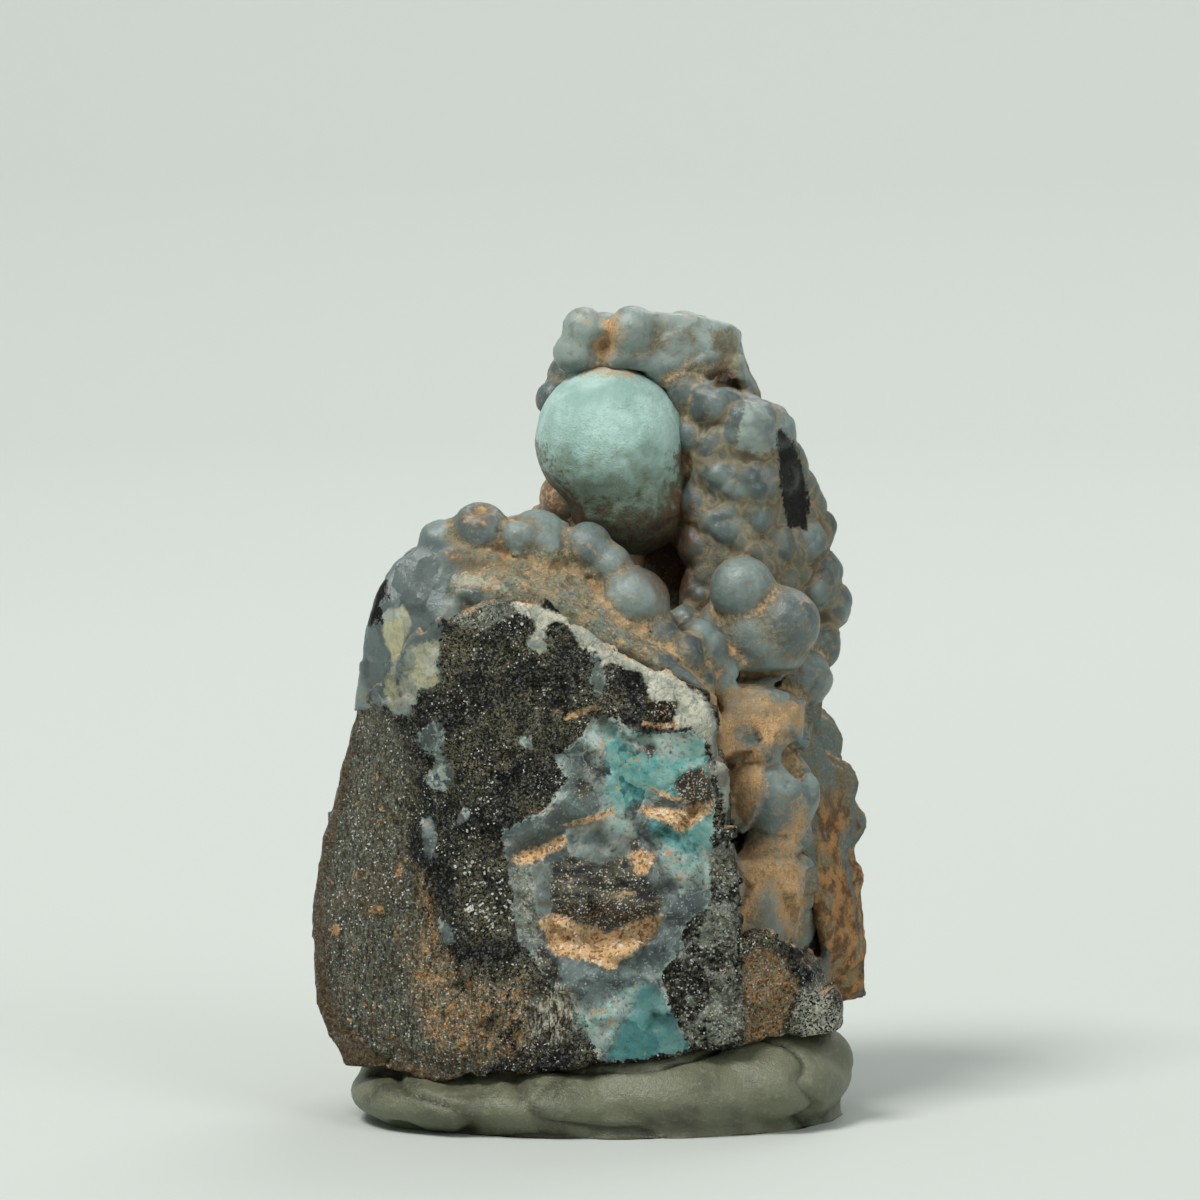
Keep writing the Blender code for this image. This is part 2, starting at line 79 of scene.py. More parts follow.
# How a zone dies out towards the back: it narrows by 1 mm in so many millimetres, behind this Y.
FRONT = (1.6, -5.6)
FRONT_EDGE = (3.0, -5.6)
SLOPE_FADE = (3.0, -3.4)
FACET_FADE = (9.0, -3.0)
LEFT_FADE = (9.0, -1.5)
FOOT_FADE = (9.0, 0.0)
SHOULDER_FADE = (6.0, -1.0)
MARK_FADE = (2.2, -3.2)
RIDGE_FADE = (4.0, -1.0)
BLOCK_FADE = (4.0, 1.0)
CHIP_FADE = (4.0, 2.0)
CAP_FADE = (4.0, 2.5)
TOWER_FADE = (4.0, 3.0)

# The matrix: convex blocks, each given by its corners.

FRONT_BLOCK = [
    (-6.9, -6.4, 23.0), (-4.0, -6.3, 24.3), (-2.6, -6.6, 24.0), (2.2, -6.9, 21.3), (5.3, -6.8, 19.8),
    (6.1, -6.9, 15.5), (6.7, -7.0, 10.6), (6.9, -7.0, 3.9), (0.5, -7.4, 3.2), (-6.2, -7.2, 2.4),
    (-10.6, -2.7, 18.9), (-11.8, -2.2, 13.6), (-12.6, -1.6, 9.5), (-12.4, -2.9, 5.3),
    (-11.2, -4.0, 2.6), (-10.9, 2.6, 16.8), (-11.6, 3.4, 9.0), (-10.2, 3.0, 3.0), (-6.0, -2.0, 23.3),
    (1.5, -2.4, 20.8), (5.2, -2.6, 18.2), (5.6, 1.5, 14.0), (6.2, 2.5, 4.2), (-6.0, 3.5, 20.5),
    (2.0, 3.5, 17.5),
]
RIGHT_FOOT = [
    (6.0, -6.9, 8.0), (7.9, -6.6, 9.0), (9.4, -5.7, 8.2), (11.0, -4.6, 5.7), (11.1, -4.5, 4.4),
    (6.0, -6.9, 3.9), (11.2, 3.0, 4.5), (10.4, 3.5, 6.6), (6.0, 3.0, 8.2), (6.0, 3.0, 3.9),
]
REAR_BASE = [
    (-10.4, 2.0, 3.1), (-10.9, 2.0, 13.0), (-9.6, 6.6, 5.2), (-8.6, 7.4, 12.4), (-9.8, 3.2, 17.6),
    (-4.6, 8.8, 3.8), (-3.2, 9.6, 12.0), (3.4, 9.2, 4.0), (4.6, 9.6, 13.6), (9.6, 8.2, 4.4),
    (12.9, 4.8, 4.5), (12.7, 4.2, 6.2), (12.5, 5.4, 11.0), (10.2, 8.4, 12.8), (-6.2, 7.2, 18.6),
    (6.0, 2.0, 16.0), (-6.0, 2.0, 19.4), (10.6, 2.6, 4.5), (0.0, 1.0, 3.2),
]
LOWER_WALL = [
    (-6.8, 3.4, 12.0), (-7.0, 6.0, 20.4), (-5.0, 5.6, 23.4), (-3.4, 5.0, 25.2), (10.6, 4.9, 23.0),
    (10.3, 5.0, 21.5), (10.0, 4.4, 17.4), (10.9, 5.2, 10.0), (9.0, 8.8, 18.6), (-4.4, 8.4, 20.0),
    (2.6, 9.5, 18.0), (3.4, 9.9, 9.0), (3.0, 1.9, 17.0), (6.2, 1.9, 22.0), (-5.4, 2.4, 18.0),
    (-6.4, 8.4, 9.0), (9.4, 8.8, 9.0), (6.4, 0.6, 9.0), (8.8, 8.2, 23.0), (-2.4, 7.8, 25.0),
]
UPPER_WALL = [
    (-2.6, 4.9, 25.6), (-1.6, 4.8, 28.4), (-1.3, 5.2, 32.2), (1.2, 4.6, 35.1), (6.3, 3.8, 34.7),
    (6.9, 3.7, 32.9), (8.6, 3.6, 31.0), (10.6, 4.2, 28.4), (11.3, 4.7, 26.3), (10.9, 5.0, 21.0),
    (6.0, 6.6, 34.2), (1.8, 7.0, 33.6), (-0.8, 7.6, 29.0), (8.6, 7.9, 27.2), (9.2, 8.6, 20.0),
    (-2.0, 8.6, 21.0), (3.0, 9.4, 19.0), (5.4, 2.2, 24.0), (-2.4, 4.0, 20.0),
]
FLANK = [
    (9.2, 1.6, 17.2), (10.4, 2.6, 17.2), (11.7, 3.8, 14.6), (12.0, 3.0, 10.0), (12.7, 3.9, 6.2),
    (9.4, 0.6, 12.0), (10.8, 0.4, 7.6), (9.0, 5.0, 16.6), (12.4, 5.8, 12.0), (11.6, 5.0, 7.0),
    (11.0, 1.2, 5.2),
]
ROCK_BLOCKS = [FRONT_BLOCK, RIGHT_FOOT, REAR_BASE, LOWER_WALL, UPPER_WALL, FLANK]

# Rounded swellings of the rock on the right flank and behind: centre, then radius.
ROCK_LUMPS = [
    ((11.1, 4.6, 14.4), 1.45), ((11.5, 4.8, 12.6), 1.35), ((11.7, 4.2, 10.2), 1.05),
    ((9.4, 6.7, 15.6), 2.4), ((-6.2, 5.3, 15.0), 3.1), ((-4.6, 5.9, 19.4), 2.8),
    ((6.2, 6.9, 22.4), 2.7), ((3.4, 5.5, 29.4), 2.7),
]

# Chips broken out of the matrix, and the small hollow on its front face, as ellipsoids:
# centre, then radii along X, Y and Z.
ROCK_CHIPS = [
    ((0.9, -8.0, 9.3), (2.5, 1.45, 0.95)), ((-4.9, -8.6, 10.4), (1.9, 1.9, 3.6)),
    ((4.6, -7.9, 14.6), (1.6, 1.15, 0.5)), ((9.8, -6.9, 9.4), (2.0, 1.4, 1.6)),
    ((-7.4, 9.6, 9.6), (3.4, 2.3, 2.6)), ((3.0, 11.4, 18.8), (4.2, 2.6, 3.2)),
    ((10.6, 9.6, 24.0), (2.6, 2.6, 4.0)), ((0.6, 8.9, 27.4), (2.2, 1.6, 3.0)),
]

# The crust: thick chalcedony bodies that carry the lumps.

SHOULDER = [
    (-6.7, -6.3, 19.0), (-10.7, -2.6, 18.6), (-10.1, -3.2, 22.6), (-9.7, -3.2, 24.0),
    (-8.7, -3.2, 25.5), (-6.9, -3.0, 26.7), (-5.0, -3.2, 26.9), (-6.9, -6.2, 22.8),
    (-5.4, -5.6, 24.8), (-10.2, 1.6, 18.4), (-9.3, 1.8, 23.2), (-7.0, 2.2, 24.8), (-4.0, 0.6, 25.8),
    (-3.0, -1.0, 17.0),
]
SLOPE = [
    (-6.0, -5.9, 24.2), (-4.0, -6.1, 25.0), (-1.6, -6.4, 24.1), (2.4, -6.7, 21.7), (5.3, -6.6, 20.0),
    (-5.0, -3.2, 26.4), (-1.4, -3.4, 25.5), (1.4, -3.2, 23.1), (4.3, -2.9, 20.2), (5.9, -4.2, 18.8),
    (-4.6, 0.4, 24.6), (0.0, -0.4, 23.4), (4.0, -0.2, 19.6), (6.3, -3.4, 16.6), (6.3, -0.8, 16.0),
    (-3.0, -2.0, 18.0), (3.0, -2.0, 16.0),
]
CLEFT_FLOOR = [
    (-5.0, 0.0, 23.8), (-1.0, -1.4, 23.2), (4.4, -1.8, 19.8), (6.6, 1.0, 20.6), (3.6, 3.6, 23.6),
    (-1.4, 4.6, 25.6), (-4.6, 5.4, 23.4), (-6.8, 3.4, 21.6), (0.0, 3.0, 16.0), (6.0, 2.0, 14.0),
]
TOWER_FRONT = [
    (4.9, 0.7, 32.2), (6.4, 0.2, 31.6), (8.7, 1.2, 31.2), (9.5, 2.5, 30.3), (4.8, 1.0, 26.0),
    (4.9, 0.8, 21.2), (7.2, -0.2, 20.6), (9.6, 1.8, 25.0), (11.2, 4.0, 26.5), (10.0, 3.0, 21.4),
    (5.2, 5.2, 32.4), (8.4, 4.6, 31.0), (4.2, 5.2, 21.0), (9.4, 5.0, 21.0), (10.6, 4.9, 25.6),
]
BEHIND_BALL = [
    (-1.9, 4.4, 32.2), (-2.0, 4.4, 27.6), (-0.6, 3.6, 25.0), (3.8, 3.0, 25.0), (5.2, 4.0, 33.2),
    (0.2, 4.0, 34.0), (-1.4, 6.2, 31.8), (-2.0, 6.2, 27.6), (5.2, 6.0, 25.0), (5.2, 6.0, 33.0),
]
CAP = [
    (1.2, 0.9, 35.9), (2.4, 0.7, 36.5), (5.0, 1.0, 36.3), (6.4, 1.6, 35.9), (6.7, 1.9, 35.6),
    (6.9, 2.1, 34.3), (0.8, 0.8, 33.9), (2.6, 0.8, 33.7), (5.4, 0.9, 33.8), (1.0, 4.6, 34.2),
    (1.4, 4.6, 36.3), (7.0, 3.7, 35.5), (6.9, 3.0, 33.6), (5.2, 4.4, 33.2), (-0.2, 3.6, 34.4),
]
NECK = [
    (3.4, 2.6, 34.4), (6.9, 1.5, 34.4), (3.2, 3.2, 32.8), (4.6, 1.3, 32.0), (7.3, 1.6, 32.4),
    (7.0, 4.2, 34.6), (3.0, 4.6, 34.6), (8.0, 4.4, 31.8), (3.6, 4.6, 31.0), (4.9, 2.0, 30.4),
    (4.6, 2.2, 27.4), (4.0, 3.4, 26.0), (6.0, 3.4, 26.0),
]
UPPER_CHUNK = [
    (5.9, -3.0, 19.5), (7.6, -2.8, 19.7), (9.6, -1.4, 19.2), (9.9, -0.9, 16.8), (6.2, -3.3, 16.6),
    (8.0, -2.9, 16.4), (5.6, 1.6, 19.6), (9.8, 1.8, 18.9), (10.0, 3.8, 16.4), (5.8, 3.0, 15.0),
]
LOWER_CHUNK = [
    (6.3, -3.5, 12.3), (8.6, -2.9, 12.0), (9.5, -1.5, 11.5), (9.1, -1.9, 8.4), (6.4, -4.1, 8.0),
    (8.2, -3.4, 7.2), (6.2, 2.0, 12.0), (10.2, 2.2, 11.0), (10.6, 2.6, 7.0), (6.2, 2.0, 7.0),
]
CRUST_BLOCKS = [
    SHOULDER, SLOPE, CLEFT_FLOOR, TOWER_FRONT, BEHIND_BALL, CAP, NECK, UPPER_CHUNK, LOWER_CHUNK,
]

# Botryoidal lumps: centre, then radius.
RIDGE_LUMPS = [
    ((-4.9, -3.1, 26.8), 1.35), ((-2.4, -2.7, 26.0), 1.75), ((-3.2, -4.0, 26.6), 0.8),
    ((-0.1, -3.1, 26.0), 1.2), ((0.9, -3.4, 25.2), 1.1), ((2.0, -3.9, 23.6), 1.65),
    ((2.9, -4.3, 22.1), 1.2), ((3.8, -4.1, 21.1), 1.3), ((4.7, -3.8, 20.0), 0.95),
    ((4.9, -2.8, 21.4), 1.3), ((5.9, -2.2, 20.2), 1.0), ((-6.6, -2.6, 26.1), 1.2),
    ((-7.5, -1.0, 24.6), 1.35), ((-5.8, 0.2, 25.6), 1.5), ((-3.2, -0.8, 26.0), 1.4),
    ((-1.2, -0.8, 25.0), 1.2), ((-7.8, 1.4, 24.0), 1.2), ((4.3, 0.4, 22.4), 0.75),
    ((4.7, -0.4, 21.2), 0.7), ((2.9, -0.6, 22.3), 1.0), ((-4.4, 2.6, 24.6), 1.4),
    ((-2.4, 2.2, 24.8), 1.1),
]
TOWER_LUMPS = [
    ((4.6, 2.0, 32.9), 1.4), ((5.8, 1.4, 32.3), 1.4), ((6.9, 1.3, 31.3), 1.51),
    ((8.1, 1.7, 31.0), 1.16), ((4.7, 1.6, 30.9), 0.99), ((5.7, 1.2, 30.3), 1.05),
    ((6.1, 1.1, 29.1), 1.22), ((7.2, 1.1, 28.6), 1.22), ((8.4, 2.0, 28.8), 1.22),
    ((5.0, 1.5, 27.8), 1.05), ((6.2, 1.1, 26.6), 1.22), ((7.3, 1.1, 27.1), 1.05),
    ((8.2, 1.9, 25.8), 1.28), ((5.0, 1.6, 25.8), 1.11), ((9.5, 3.0, 25.9), 1.22),
    ((10.2, 3.8, 24.2), 1.28), ((7.1, 0.9, 25.5), 0.93), ((10.7, 4.4, 22.8), 1.28),
    ((5.1, 1.5, 23.7), 1.05), ((5.0, 1.5, 22.1), 1.05),
]
BIG_LUMPS = [
    ((6.9, -1.1, 24.0), 1.52), ((8.7, -1.0, 22.4), 1.75), ((7.8, -0.3, 21.9), 2.3),
    ((6.4, 0.0, 21.8), 1.6), ((10.0, 3.6, 23.6), 1.3), ((10.2, 3.8, 21.0), 1.35),
    ((9.6, 2.2, 19.6), 1.5), ((8.1, -1.1, 14.7), 2.15), ((8.2, -0.9, 13.2), 1.75),
]
CAP_LUMPS = [
    ((-0.3, 1.5, 35.7), 1.0), ((-0.7, 1.6, 34.6), 1.0), ((0.3, 2.2, 34.3), 0.95),
    ((1.9, 1.2, 35.6), 1.15), ((4.1, 2.7, 34.9), 1.55), ((-1.7, 3.4, 32.4), 0.85),
    ((0.6, 3.8, 35.4), 1.05), ((-0.9, 4.2, 33.4), 1.1), ((3.3, 1.9, 33.8), 0.9),
]
SEAT_LUMPS = [
    ((-0.8, 3.4, 27.6), 1.6), ((-1.1, 2.2, 27.8), 1.3), ((0.2, 1.9, 26.4), 1.25),
    ((1.4, 2.4, 25.2), 1.2), ((-1.6, 4.6, 26.2), 1.5), ((4.2, 2.4, 26.6), 1.0),
    ((4.3, 2.6, 29.4), 1.1), ((3.0, 1.0, 24.0), 0.7),
]
CRUST_LUMPS = RIDGE_LUMPS + TOWER_LUMPS + BIG_LUMPS + CAP_LUMPS + SEAT_LUMPS

# Broken hollows in the crust: centre, then radii along X, Y and Z.
CRUST_CHIPS = [
    ((6.0, 0.5, 33.2), (0.8, 1.5, 0.2)), ((6.9, 0.6, 33.0), (0.7, 1.7, 0.36)),
    ((8.9, -1.8, 20.05), (3.0, 1.9, 0.34)), ((-4.9, -3.9, 28.15), (0.75, 0.9, 0.62)),
    ((9.9, -1.6, 16.2), (1.2, 1.3, 0.9)),
]

# Putty: overlapping soft lobes, centre and radii along X, Y and Z.
PUTTY_LOBES = [
    ((-5.6, -2.2, 1.2), (5.3, 6.0, 1.75)), ((-1.6, -2.6, 1.3), (6.6, 6.1, 2.1)),
    ((3.4, -2.4, 1.6), (6.6, 6.2, 2.5)), ((7.4, -1.6, 1.9), (4.6, 5.9, 2.5)),
    ((9.6, -0.8, 2.3), (2.4, 4.4, 1.9)), ((4.8, 3.4, 1.8), (5.0, 4.0, 2.2)),
    ((-3.8, 3.2, 1.5), (5.0, 4.0, 2.0)), ((-8.2, -0.8, 1.5), (2.3, 4.2, 1.5)),
]

# The putty's flat core, under the lobes: middle and half widths along X and Y, heights, corners.
PUTTY_CORE_MIDDLE = (0.9, -1.2)
PUTTY_CORE_SIZE = (10.6, 7.1)
PUTTY_CORE_HEIGHTS = (-0.6, 1.7)
PUTTY_CORE_CORNERS = 20
FOLD_LOBE = ((10.2, -2.3, 2.7), (1.85, 1.9, 1.45))

# Zones of colour and relief: outlines in X and Z, as seen from the front.
VEIN = [
    (-1.7, 17.0), (-1.0, 17.4), (-0.4, 17.9), (0.0, 18.5), (0.7, 18.9), (1.7, 18.3), (2.4, 18.1),
    (3.8, 18.0), (4.6, 18.3), (5.1, 17.8), (5.7, 14.6), (5.3, 12.3), (5.4, 10.5), (5.0, 10.0),
    (4.5, 9.8), (4.2, 9.1), (4.2, 8.5), (3.5, 7.7), (3.2, 7.0), (3.7, 5.6), (4.5, 3.9), (0.5, 3.3),
    (-0.2, 5.0), (-2.2, 7.5), (-2.9, 8.6), (-3.2, 8.8), (-3.7, 12.6), (-4.0, 13.4), (-3.7, 13.9),
    (-3.2, 14.1), (-2.4, 14.3), (-1.9, 14.8), (-1.0, 16.0),
]
TURQUOISE = [
    [(0.7, 18.3), (1.4, 17.7), (2.2, 17.2), (2.8, 17.4), (3.2, 16.9), (4.2, 16.9), (4.5, 17.7),
     (4.9, 18.0), (5.2, 17.2), (5.2, 16.2), (4.5, 15.5), (3.7, 15.2), (2.9, 15.5), (2.5, 15.2),
     (1.0, 14.5), (0.8, 15.5), (0.9, 16.6), (0.6, 17.5)],
    [(2.7, 14.4), (4.1, 13.7), (5.5, 14.5), (5.7, 13.4), (5.4, 12.4), (4.9, 12.8), (4.5, 12.5),
     (4.0, 12.8), (3.5, 12.9), (2.9, 13.5)],
    [(2.2, 6.8), (2.9, 6.5), (3.4, 5.9), (4.5, 3.8), (0.7, 3.4), (1.3, 4.7), (1.8, 5.5)],
]
MILKY = [
    [(1.7, 18.3), (2.4, 18.1), (3.7, 18.0), (4.6, 17.8), (4.4, 17.0), (3.3, 16.9), (2.8, 17.5),
     (2.2, 17.3), (1.4, 17.8)],
    [(0.2, 18.6), (0.6, 18.2), (0.6, 17.2), (0.4, 16.5), (-0.2, 17.9)],
    [(0.8, 15.3), (1.1, 14.5), (1.9, 14.2), (2.2, 13.5), (1.0, 13.7), (0.5, 14.5)],
    [(2.9, 13.3), (4.5, 12.4), (5.0, 12.8), (5.4, 12.3), (5.3, 11.3), (4.6, 11.5), (4.2, 10.9),
     (3.1, 12.4)],
    [(-1.3, 5.9), (-0.4, 5.6), (1.0, 6.1), (1.8, 6.8), (2.3, 6.8), (1.0, 4.3), (0.4, 3.9)],
]
QUARTZ = [
    (-3.6, 23.9), (-2.7, 23.9), (-0.7, 23.2), (0.5, 22.4), (2.2, 21.6), (2.9, 21.0), (3.8, 20.7),
    (4.5, 20.0), (5.0, 19.7), (5.4, 18.9), (5.5, 17.5), (4.9, 17.8), (4.5, 18.3), (3.8, 18.2),
    (3.7, 18.8), (4.0, 19.4), (3.3, 19.5), (2.7, 19.5), (2.3, 20.7), (0.9, 21.2), (0.5, 21.0),
    (0.4, 21.7), (-0.2, 21.8), (-0.4, 22.0), (-0.8, 22.6), (-1.4, 23.0), (-1.9, 22.8), (-2.0, 22.2),
    (-1.9, 21.8), (-2.2, 21.6), (-2.9, 22.0), (-2.4, 22.6), (-2.5, 23.1), (-3.1, 23.3),
]
HAZE = [
    [(-6.4, 23.6), (-6.1, 24.0), (-5.1, 24.5), (-4.0, 24.6), (-2.6, 24.3), (-2.2, 23.8), (-3.3, 23.8),
     (-4.0, 23.0), (-5.3, 22.8), (-6.1, 23.0)],
    [(-3.4, 12.1), (-2.8, 12.2), (-2.6, 10.6), (-2.2, 8.9), (-2.6, 8.5), (-3.1, 9.5), (-3.4, 10.8)],
    [(5.5, 12.7), (6.2, 12.6), (6.5, 11.5), (6.0, 10.9), (5.6, 11.5)],
    [(5.4, 10.5), (6.4, 10.4), (6.6, 9.5), (6.3, 8.3), (5.6, 8.4), (5.2, 9.5)],
    [(5.4, 6.8), (6.3, 7.1), (6.8, 6.4), (6.7, 5.4), (6.3, 4.2), (5.5, 4.1), (5.3, 5.6)],
]
SMOKY = [
    [(-1.2, 13.5), (-0.9, 14.0), (1.0, 14.5), (1.9, 13.9), (2.2, 13.2), (2.0, 12.6), (0.5, 12.2),
     (-0.9, 12.6)],
    [(-2.7, 12.2), (-1.8, 12.3), (-1.6, 11.0), (-1.7, 9.9), (-2.1, 9.0), (-2.5, 10.4)],
]
DEEP = [
    (-2.2, 7.5), (-1.3, 8.1), (0.0, 7.7), (1.0, 7.2), (2.2, 8.1), (3.1, 9.0), (3.3, 10.4),
    (4.1, 11.2), (5.2, 9.9), (4.5, 9.3), (4.2, 8.5), (3.5, 7.7), (3.2, 7.0), (2.2, 6.6), (1.3, 6.0),
    (0.7, 4.3), (0.0, 4.1), (-0.8, 6.8), (-1.5, 6.8),
]
SHOULDER_ZONE = [
    (-10.9, 22.2), (-10.4, 20.0), (-10.0, 19.2), (-9.1, 19.0), (-9.1, 18.7), (-8.2, 18.7),
    (-7.7, 19.3), (-7.6, 19.8), (-6.8, 20.2), (-6.6, 21.8), (-6.6, 23.4), (-6.0, 24.2), (-5.3, 25.8),
    (-8.4, 27.6), (-10.6, 25.8),
]
CREAM = [
    [(-8.4, 23.5), (-7.9, 22.8), (-8.2, 22.4), (-8.5, 21.3), (-8.7, 20.0), (-8.3, 18.7), (-9.0, 18.8),
     (-9.2, 19.6), (-8.9, 20.9), (-9.3, 22.2), (-9.4, 23.1)],
    [(-8.3, 21.7), (-6.6, 22.2), (-6.9, 20.2), (-7.6, 19.9), (-7.7, 19.3), (-8.2, 18.8), (-8.5, 19.5)],
]
BLUE = [
    [(-7.4, 18.3), (-6.8, 18.6), (-6.4, 17.9), (-6.5, 17.2), (-6.1, 16.5), (-6.2, 15.6), (-6.7, 15.4),
     (-7.3, 15.6), (-7.4, 16.1), (-6.8, 16.6), (-7.1, 17.0), (-7.6, 17.2), (-7.8, 17.8)],
    [(-7.6, 14.1), (-7.1, 14.3), (-6.8, 13.5), (-6.9, 12.2), (-7.3, 12.5)],
    [(-6.1, 14.5), (-5.4, 14.7), (-5.3, 14.2), (-5.9, 13.9)],
    [(-3.1, 17.8), (-2.6, 18.0), (-2.5, 17.3), (-2.9, 17.3)],
    [(-0.1, 21.9), (0.5, 21.6), (0.8, 20.1), (0.4, 19.7), (0.0, 20.3), (0.1, 21.0)],
    [(-6.8, 9.7), (-6.2, 9.5), (-6.1, 8.7), (-6.5, 8.4)],
]
GRANULAR = [
    [(-1.7, 12.3), (-0.7, 12.6), (0.5, 12.2), (2.1, 12.5), (3.3, 10.4), (2.9, 9.9), (0.7, 9.1),
     (-0.5, 9.8), (-1.3, 10.0), (-1.7, 10.4)],
    [(-0.7, 16.0), (0.0, 16.1), (0.2, 15.5), (-0.2, 15.2), (-0.7, 15.3)],
    [(-2.9, 8.8), (-2.0, 8.6), (-1.1, 6.8), (-0.7, 5.2), (-1.3, 4.3), (-2.5, 4.7), (-2.7, 6.1),
     (-2.0, 6.8), (-2.2, 7.6)],
]
DARK = [
    [(-1.9, 9.9), (-1.3, 10.3), (0.5, 10.7), (3.2, 10.3), (2.9, 9.9), (0.7, 9.0), (-0.5, 9.6)],
    [(3.7, 15.9), (4.2, 16.4), (5.0, 16.6), (5.4, 16.0), (5.6, 15.0), (4.9, 14.8), (4.0, 15.1)],
    [(2.5, 19.3), (3.2, 19.6), (3.8, 19.4), (4.0, 19.0), (3.7, 18.7), (3.8, 18.2), (2.9, 18.1),
     (2.5, 18.6)],
    [(2.3, 17.5), (2.9, 17.6), (3.0, 17.1), (2.6, 16.9)],
    [(1.7, 13.2), (2.2, 13.4), (2.3, 12.6), (1.9, 12.4)],
    [(4.5, 9.5), (4.9, 9.9), (5.3, 9.2), (5.1, 8.6), (4.5, 8.3)],
]
TUFT = [
    (-2.7, 5.6), (-1.5, 6.8), (-0.7, 6.6), (-0.6, 5.4), (-1.2, 4.4), (-2.0, 4.2), (-2.7, 4.6),
]
RIGHT_BLACK = [
    (5.2, 16.7), (5.6, 17.2), (6.6, 12.4), (6.9, 9.7), (6.6, 4.1), (4.6, 3.9), (3.3, 6.9), (3.7, 7.6),
    (4.3, 8.4), (4.4, 9.0), (4.6, 9.7), (5.2, 9.9), (5.5, 10.5), (5.4, 12.3), (5.8, 14.6),
]
DUST = [
    [(-2.3, 9.5), (-1.9, 9.9), (-1.3, 10.0), (0.7, 9.0), (3.1, 10.0), (3.0, 9.1), (0.9, 7.4),
     (-0.1, 7.9), (-1.5, 8.1)],
    [(-3.6, 12.5), (-1.1, 13.5), (-1.0, 13.1), (-2.0, 12.5), (-3.1, 12.1)],
    [(2.3, 14.8), (4.4, 14.7), (5.5, 15.1), (5.5, 14.5), (4.1, 13.6), (2.9, 14.3), (2.5, 14.3)],
    [(1.7, 12.7), (2.4, 12.9), (2.9, 12.5), (2.7, 11.8), (2.1, 11.7)],
]
THREADS = [
    [(-1.5, 13.9), (1.1, 14.8), (1.1, 14.5), (0.1, 14.1), (-0.9, 13.9)],
    [(0.5, 10.8), (1.3, 11.0), (2.1, 11.0), (2.1, 10.8), (1.3, 10.7)],
    [(2.2, 18.7), (3.1, 18.5), (4.0, 18.6), (4.0, 18.3), (3.1, 18.2), (2.3, 18.4)],
    [(2.2, 15.8), (3.1, 15.5), (4.5, 15.0), (4.5, 14.8), (3.1, 15.2)],
    [(-1.3, 18.8), (0.3, 19.4), (0.3, 19.1), (-0.4, 18.8), (-1.2, 18.6)],
]
FACET = [
    (-10.3, 20.0), (-9.0, 18.6), (-8.4, 17.7), (-7.9, 15.5), (-8.2, 12.7), (-7.0, 8.2), (-5.1, 5.8),
    (-4.0, 3.4), (-6.3, 2.5), (-9.2, 3.1), (-10.7, 4.1), (-11.7, 5.8), (-12.0, 7.9), (-12.1, 10.4),
    (-11.0, 15.1),
]
BEVEL = [
    (-10.3, 20.0), (-11.0, 15.1), (-12.1, 10.4), (-12.0, 7.9), (-11.7, 5.8), (-10.7, 4.1),
    (-9.2, 3.1), (-6.3, 2.7), (-1.3, 2.9), (-1.3, 1.1), (-13.9, 1.6), (-13.8, 11.5), (-12.0, 20.0),
]
RUST = [
    (-7.8, 11.9), (-7.2, 11.5), (-6.7, 9.5), (-6.0, 7.8), (-4.9, 6.9), (-4.0, 6.8), (-3.1, 7.2),
    (-2.5, 6.5), (-2.8, 5.6), (-2.4, 4.0), (-4.0, 3.4), (-5.5, 3.7), (-7.1, 3.8), (-7.9, 5.6),
    (-8.3, 7.7), (-7.6, 8.8),
]
SPECKLED = [
    [(-6.1, 12.3), (-4.9, 12.6), (-3.8, 12.3), (-3.1, 9.9), (-3.8, 9.0), (-5.3, 9.2), (-6.0, 10.4),
     (-6.3, 11.3)],
    [(-6.4, 23.7), (-5.3, 24.0), (-2.7, 23.0), (-2.7, 22.6), (-4.0, 22.8), (-5.3, 22.9), (-6.3, 23.2)],
    [(3.3, 7.6), (4.4, 8.1), (4.7, 6.8), (4.5, 5.9), (3.6, 6.1)],
]
FOOT = [
    (6.8, 8.1), (7.5, 8.6), (8.7, 8.1), (9.3, 6.8), (9.2, 5.4), (8.5, 4.3), (6.8, 3.8),
]
EDGE_GREY = [
    (4.8, 20.1), (5.4, 19.4), (6.3, 15.7), (6.3, 14.5), (6.0, 14.6), (5.6, 16.6), (5.2, 18.0),
]
SLOPE_ZONE = [
    (-6.7, 25.7), (-5.3, 26.3), (-4.0, 26.0), (-2.2, 26.3), (-0.3, 25.8), (0.7, 24.4), (1.6, 23.0),
    (2.7, 21.8), (5.5, 19.3), (5.6, 18.9), (4.5, 19.8), (-1.3, 23.2), (-2.4, 23.7), (-4.0, 24.0),
    (-5.3, 24.4), (-6.3, 24.0),
]
COAT = [
    [(4.5, 19.6), (5.9, 19.8), (7.7, 19.4), (9.6, 18.8), (9.9, 17.9), (9.1, 17.7), (8.8, 17.2),
     (7.7, 17.0), (7.5, 17.7), (6.8, 17.9), (6.6, 14.5), (6.0, 14.5), (5.5, 17.2)],
    [(6.6, 17.1), (7.5, 17.0), (8.0, 16.4), (7.8, 15.1), (7.1, 13.8), (6.3, 14.0)],
    [(6.7, 12.0), (8.6, 12.0), (9.6, 11.4), (9.8, 9.7), (9.3, 8.1), (8.8, 8.8), (8.1, 10.9),
     (6.8, 8.8)],
    [(0.6, 36.3), (1.0, 36.7), (1.3, 35.8), (1.2, 34.8), (0.8, 34.3), (0.5, 35.1)],
    [(6.6, 12.4), (7.7, 12.4), (9.0, 13.3), (9.6, 14.5), (9.8, 13.1), (9.3, 12.1), (6.7, 12.0)],
]
TOWER_CHIP = [
    [(7.0, 32.5), (8.0, 32.3), (8.5, 31.3), (8.6, 30.3), (7.7, 30.0), (6.6, 30.2), (6.7, 31.1)],
]
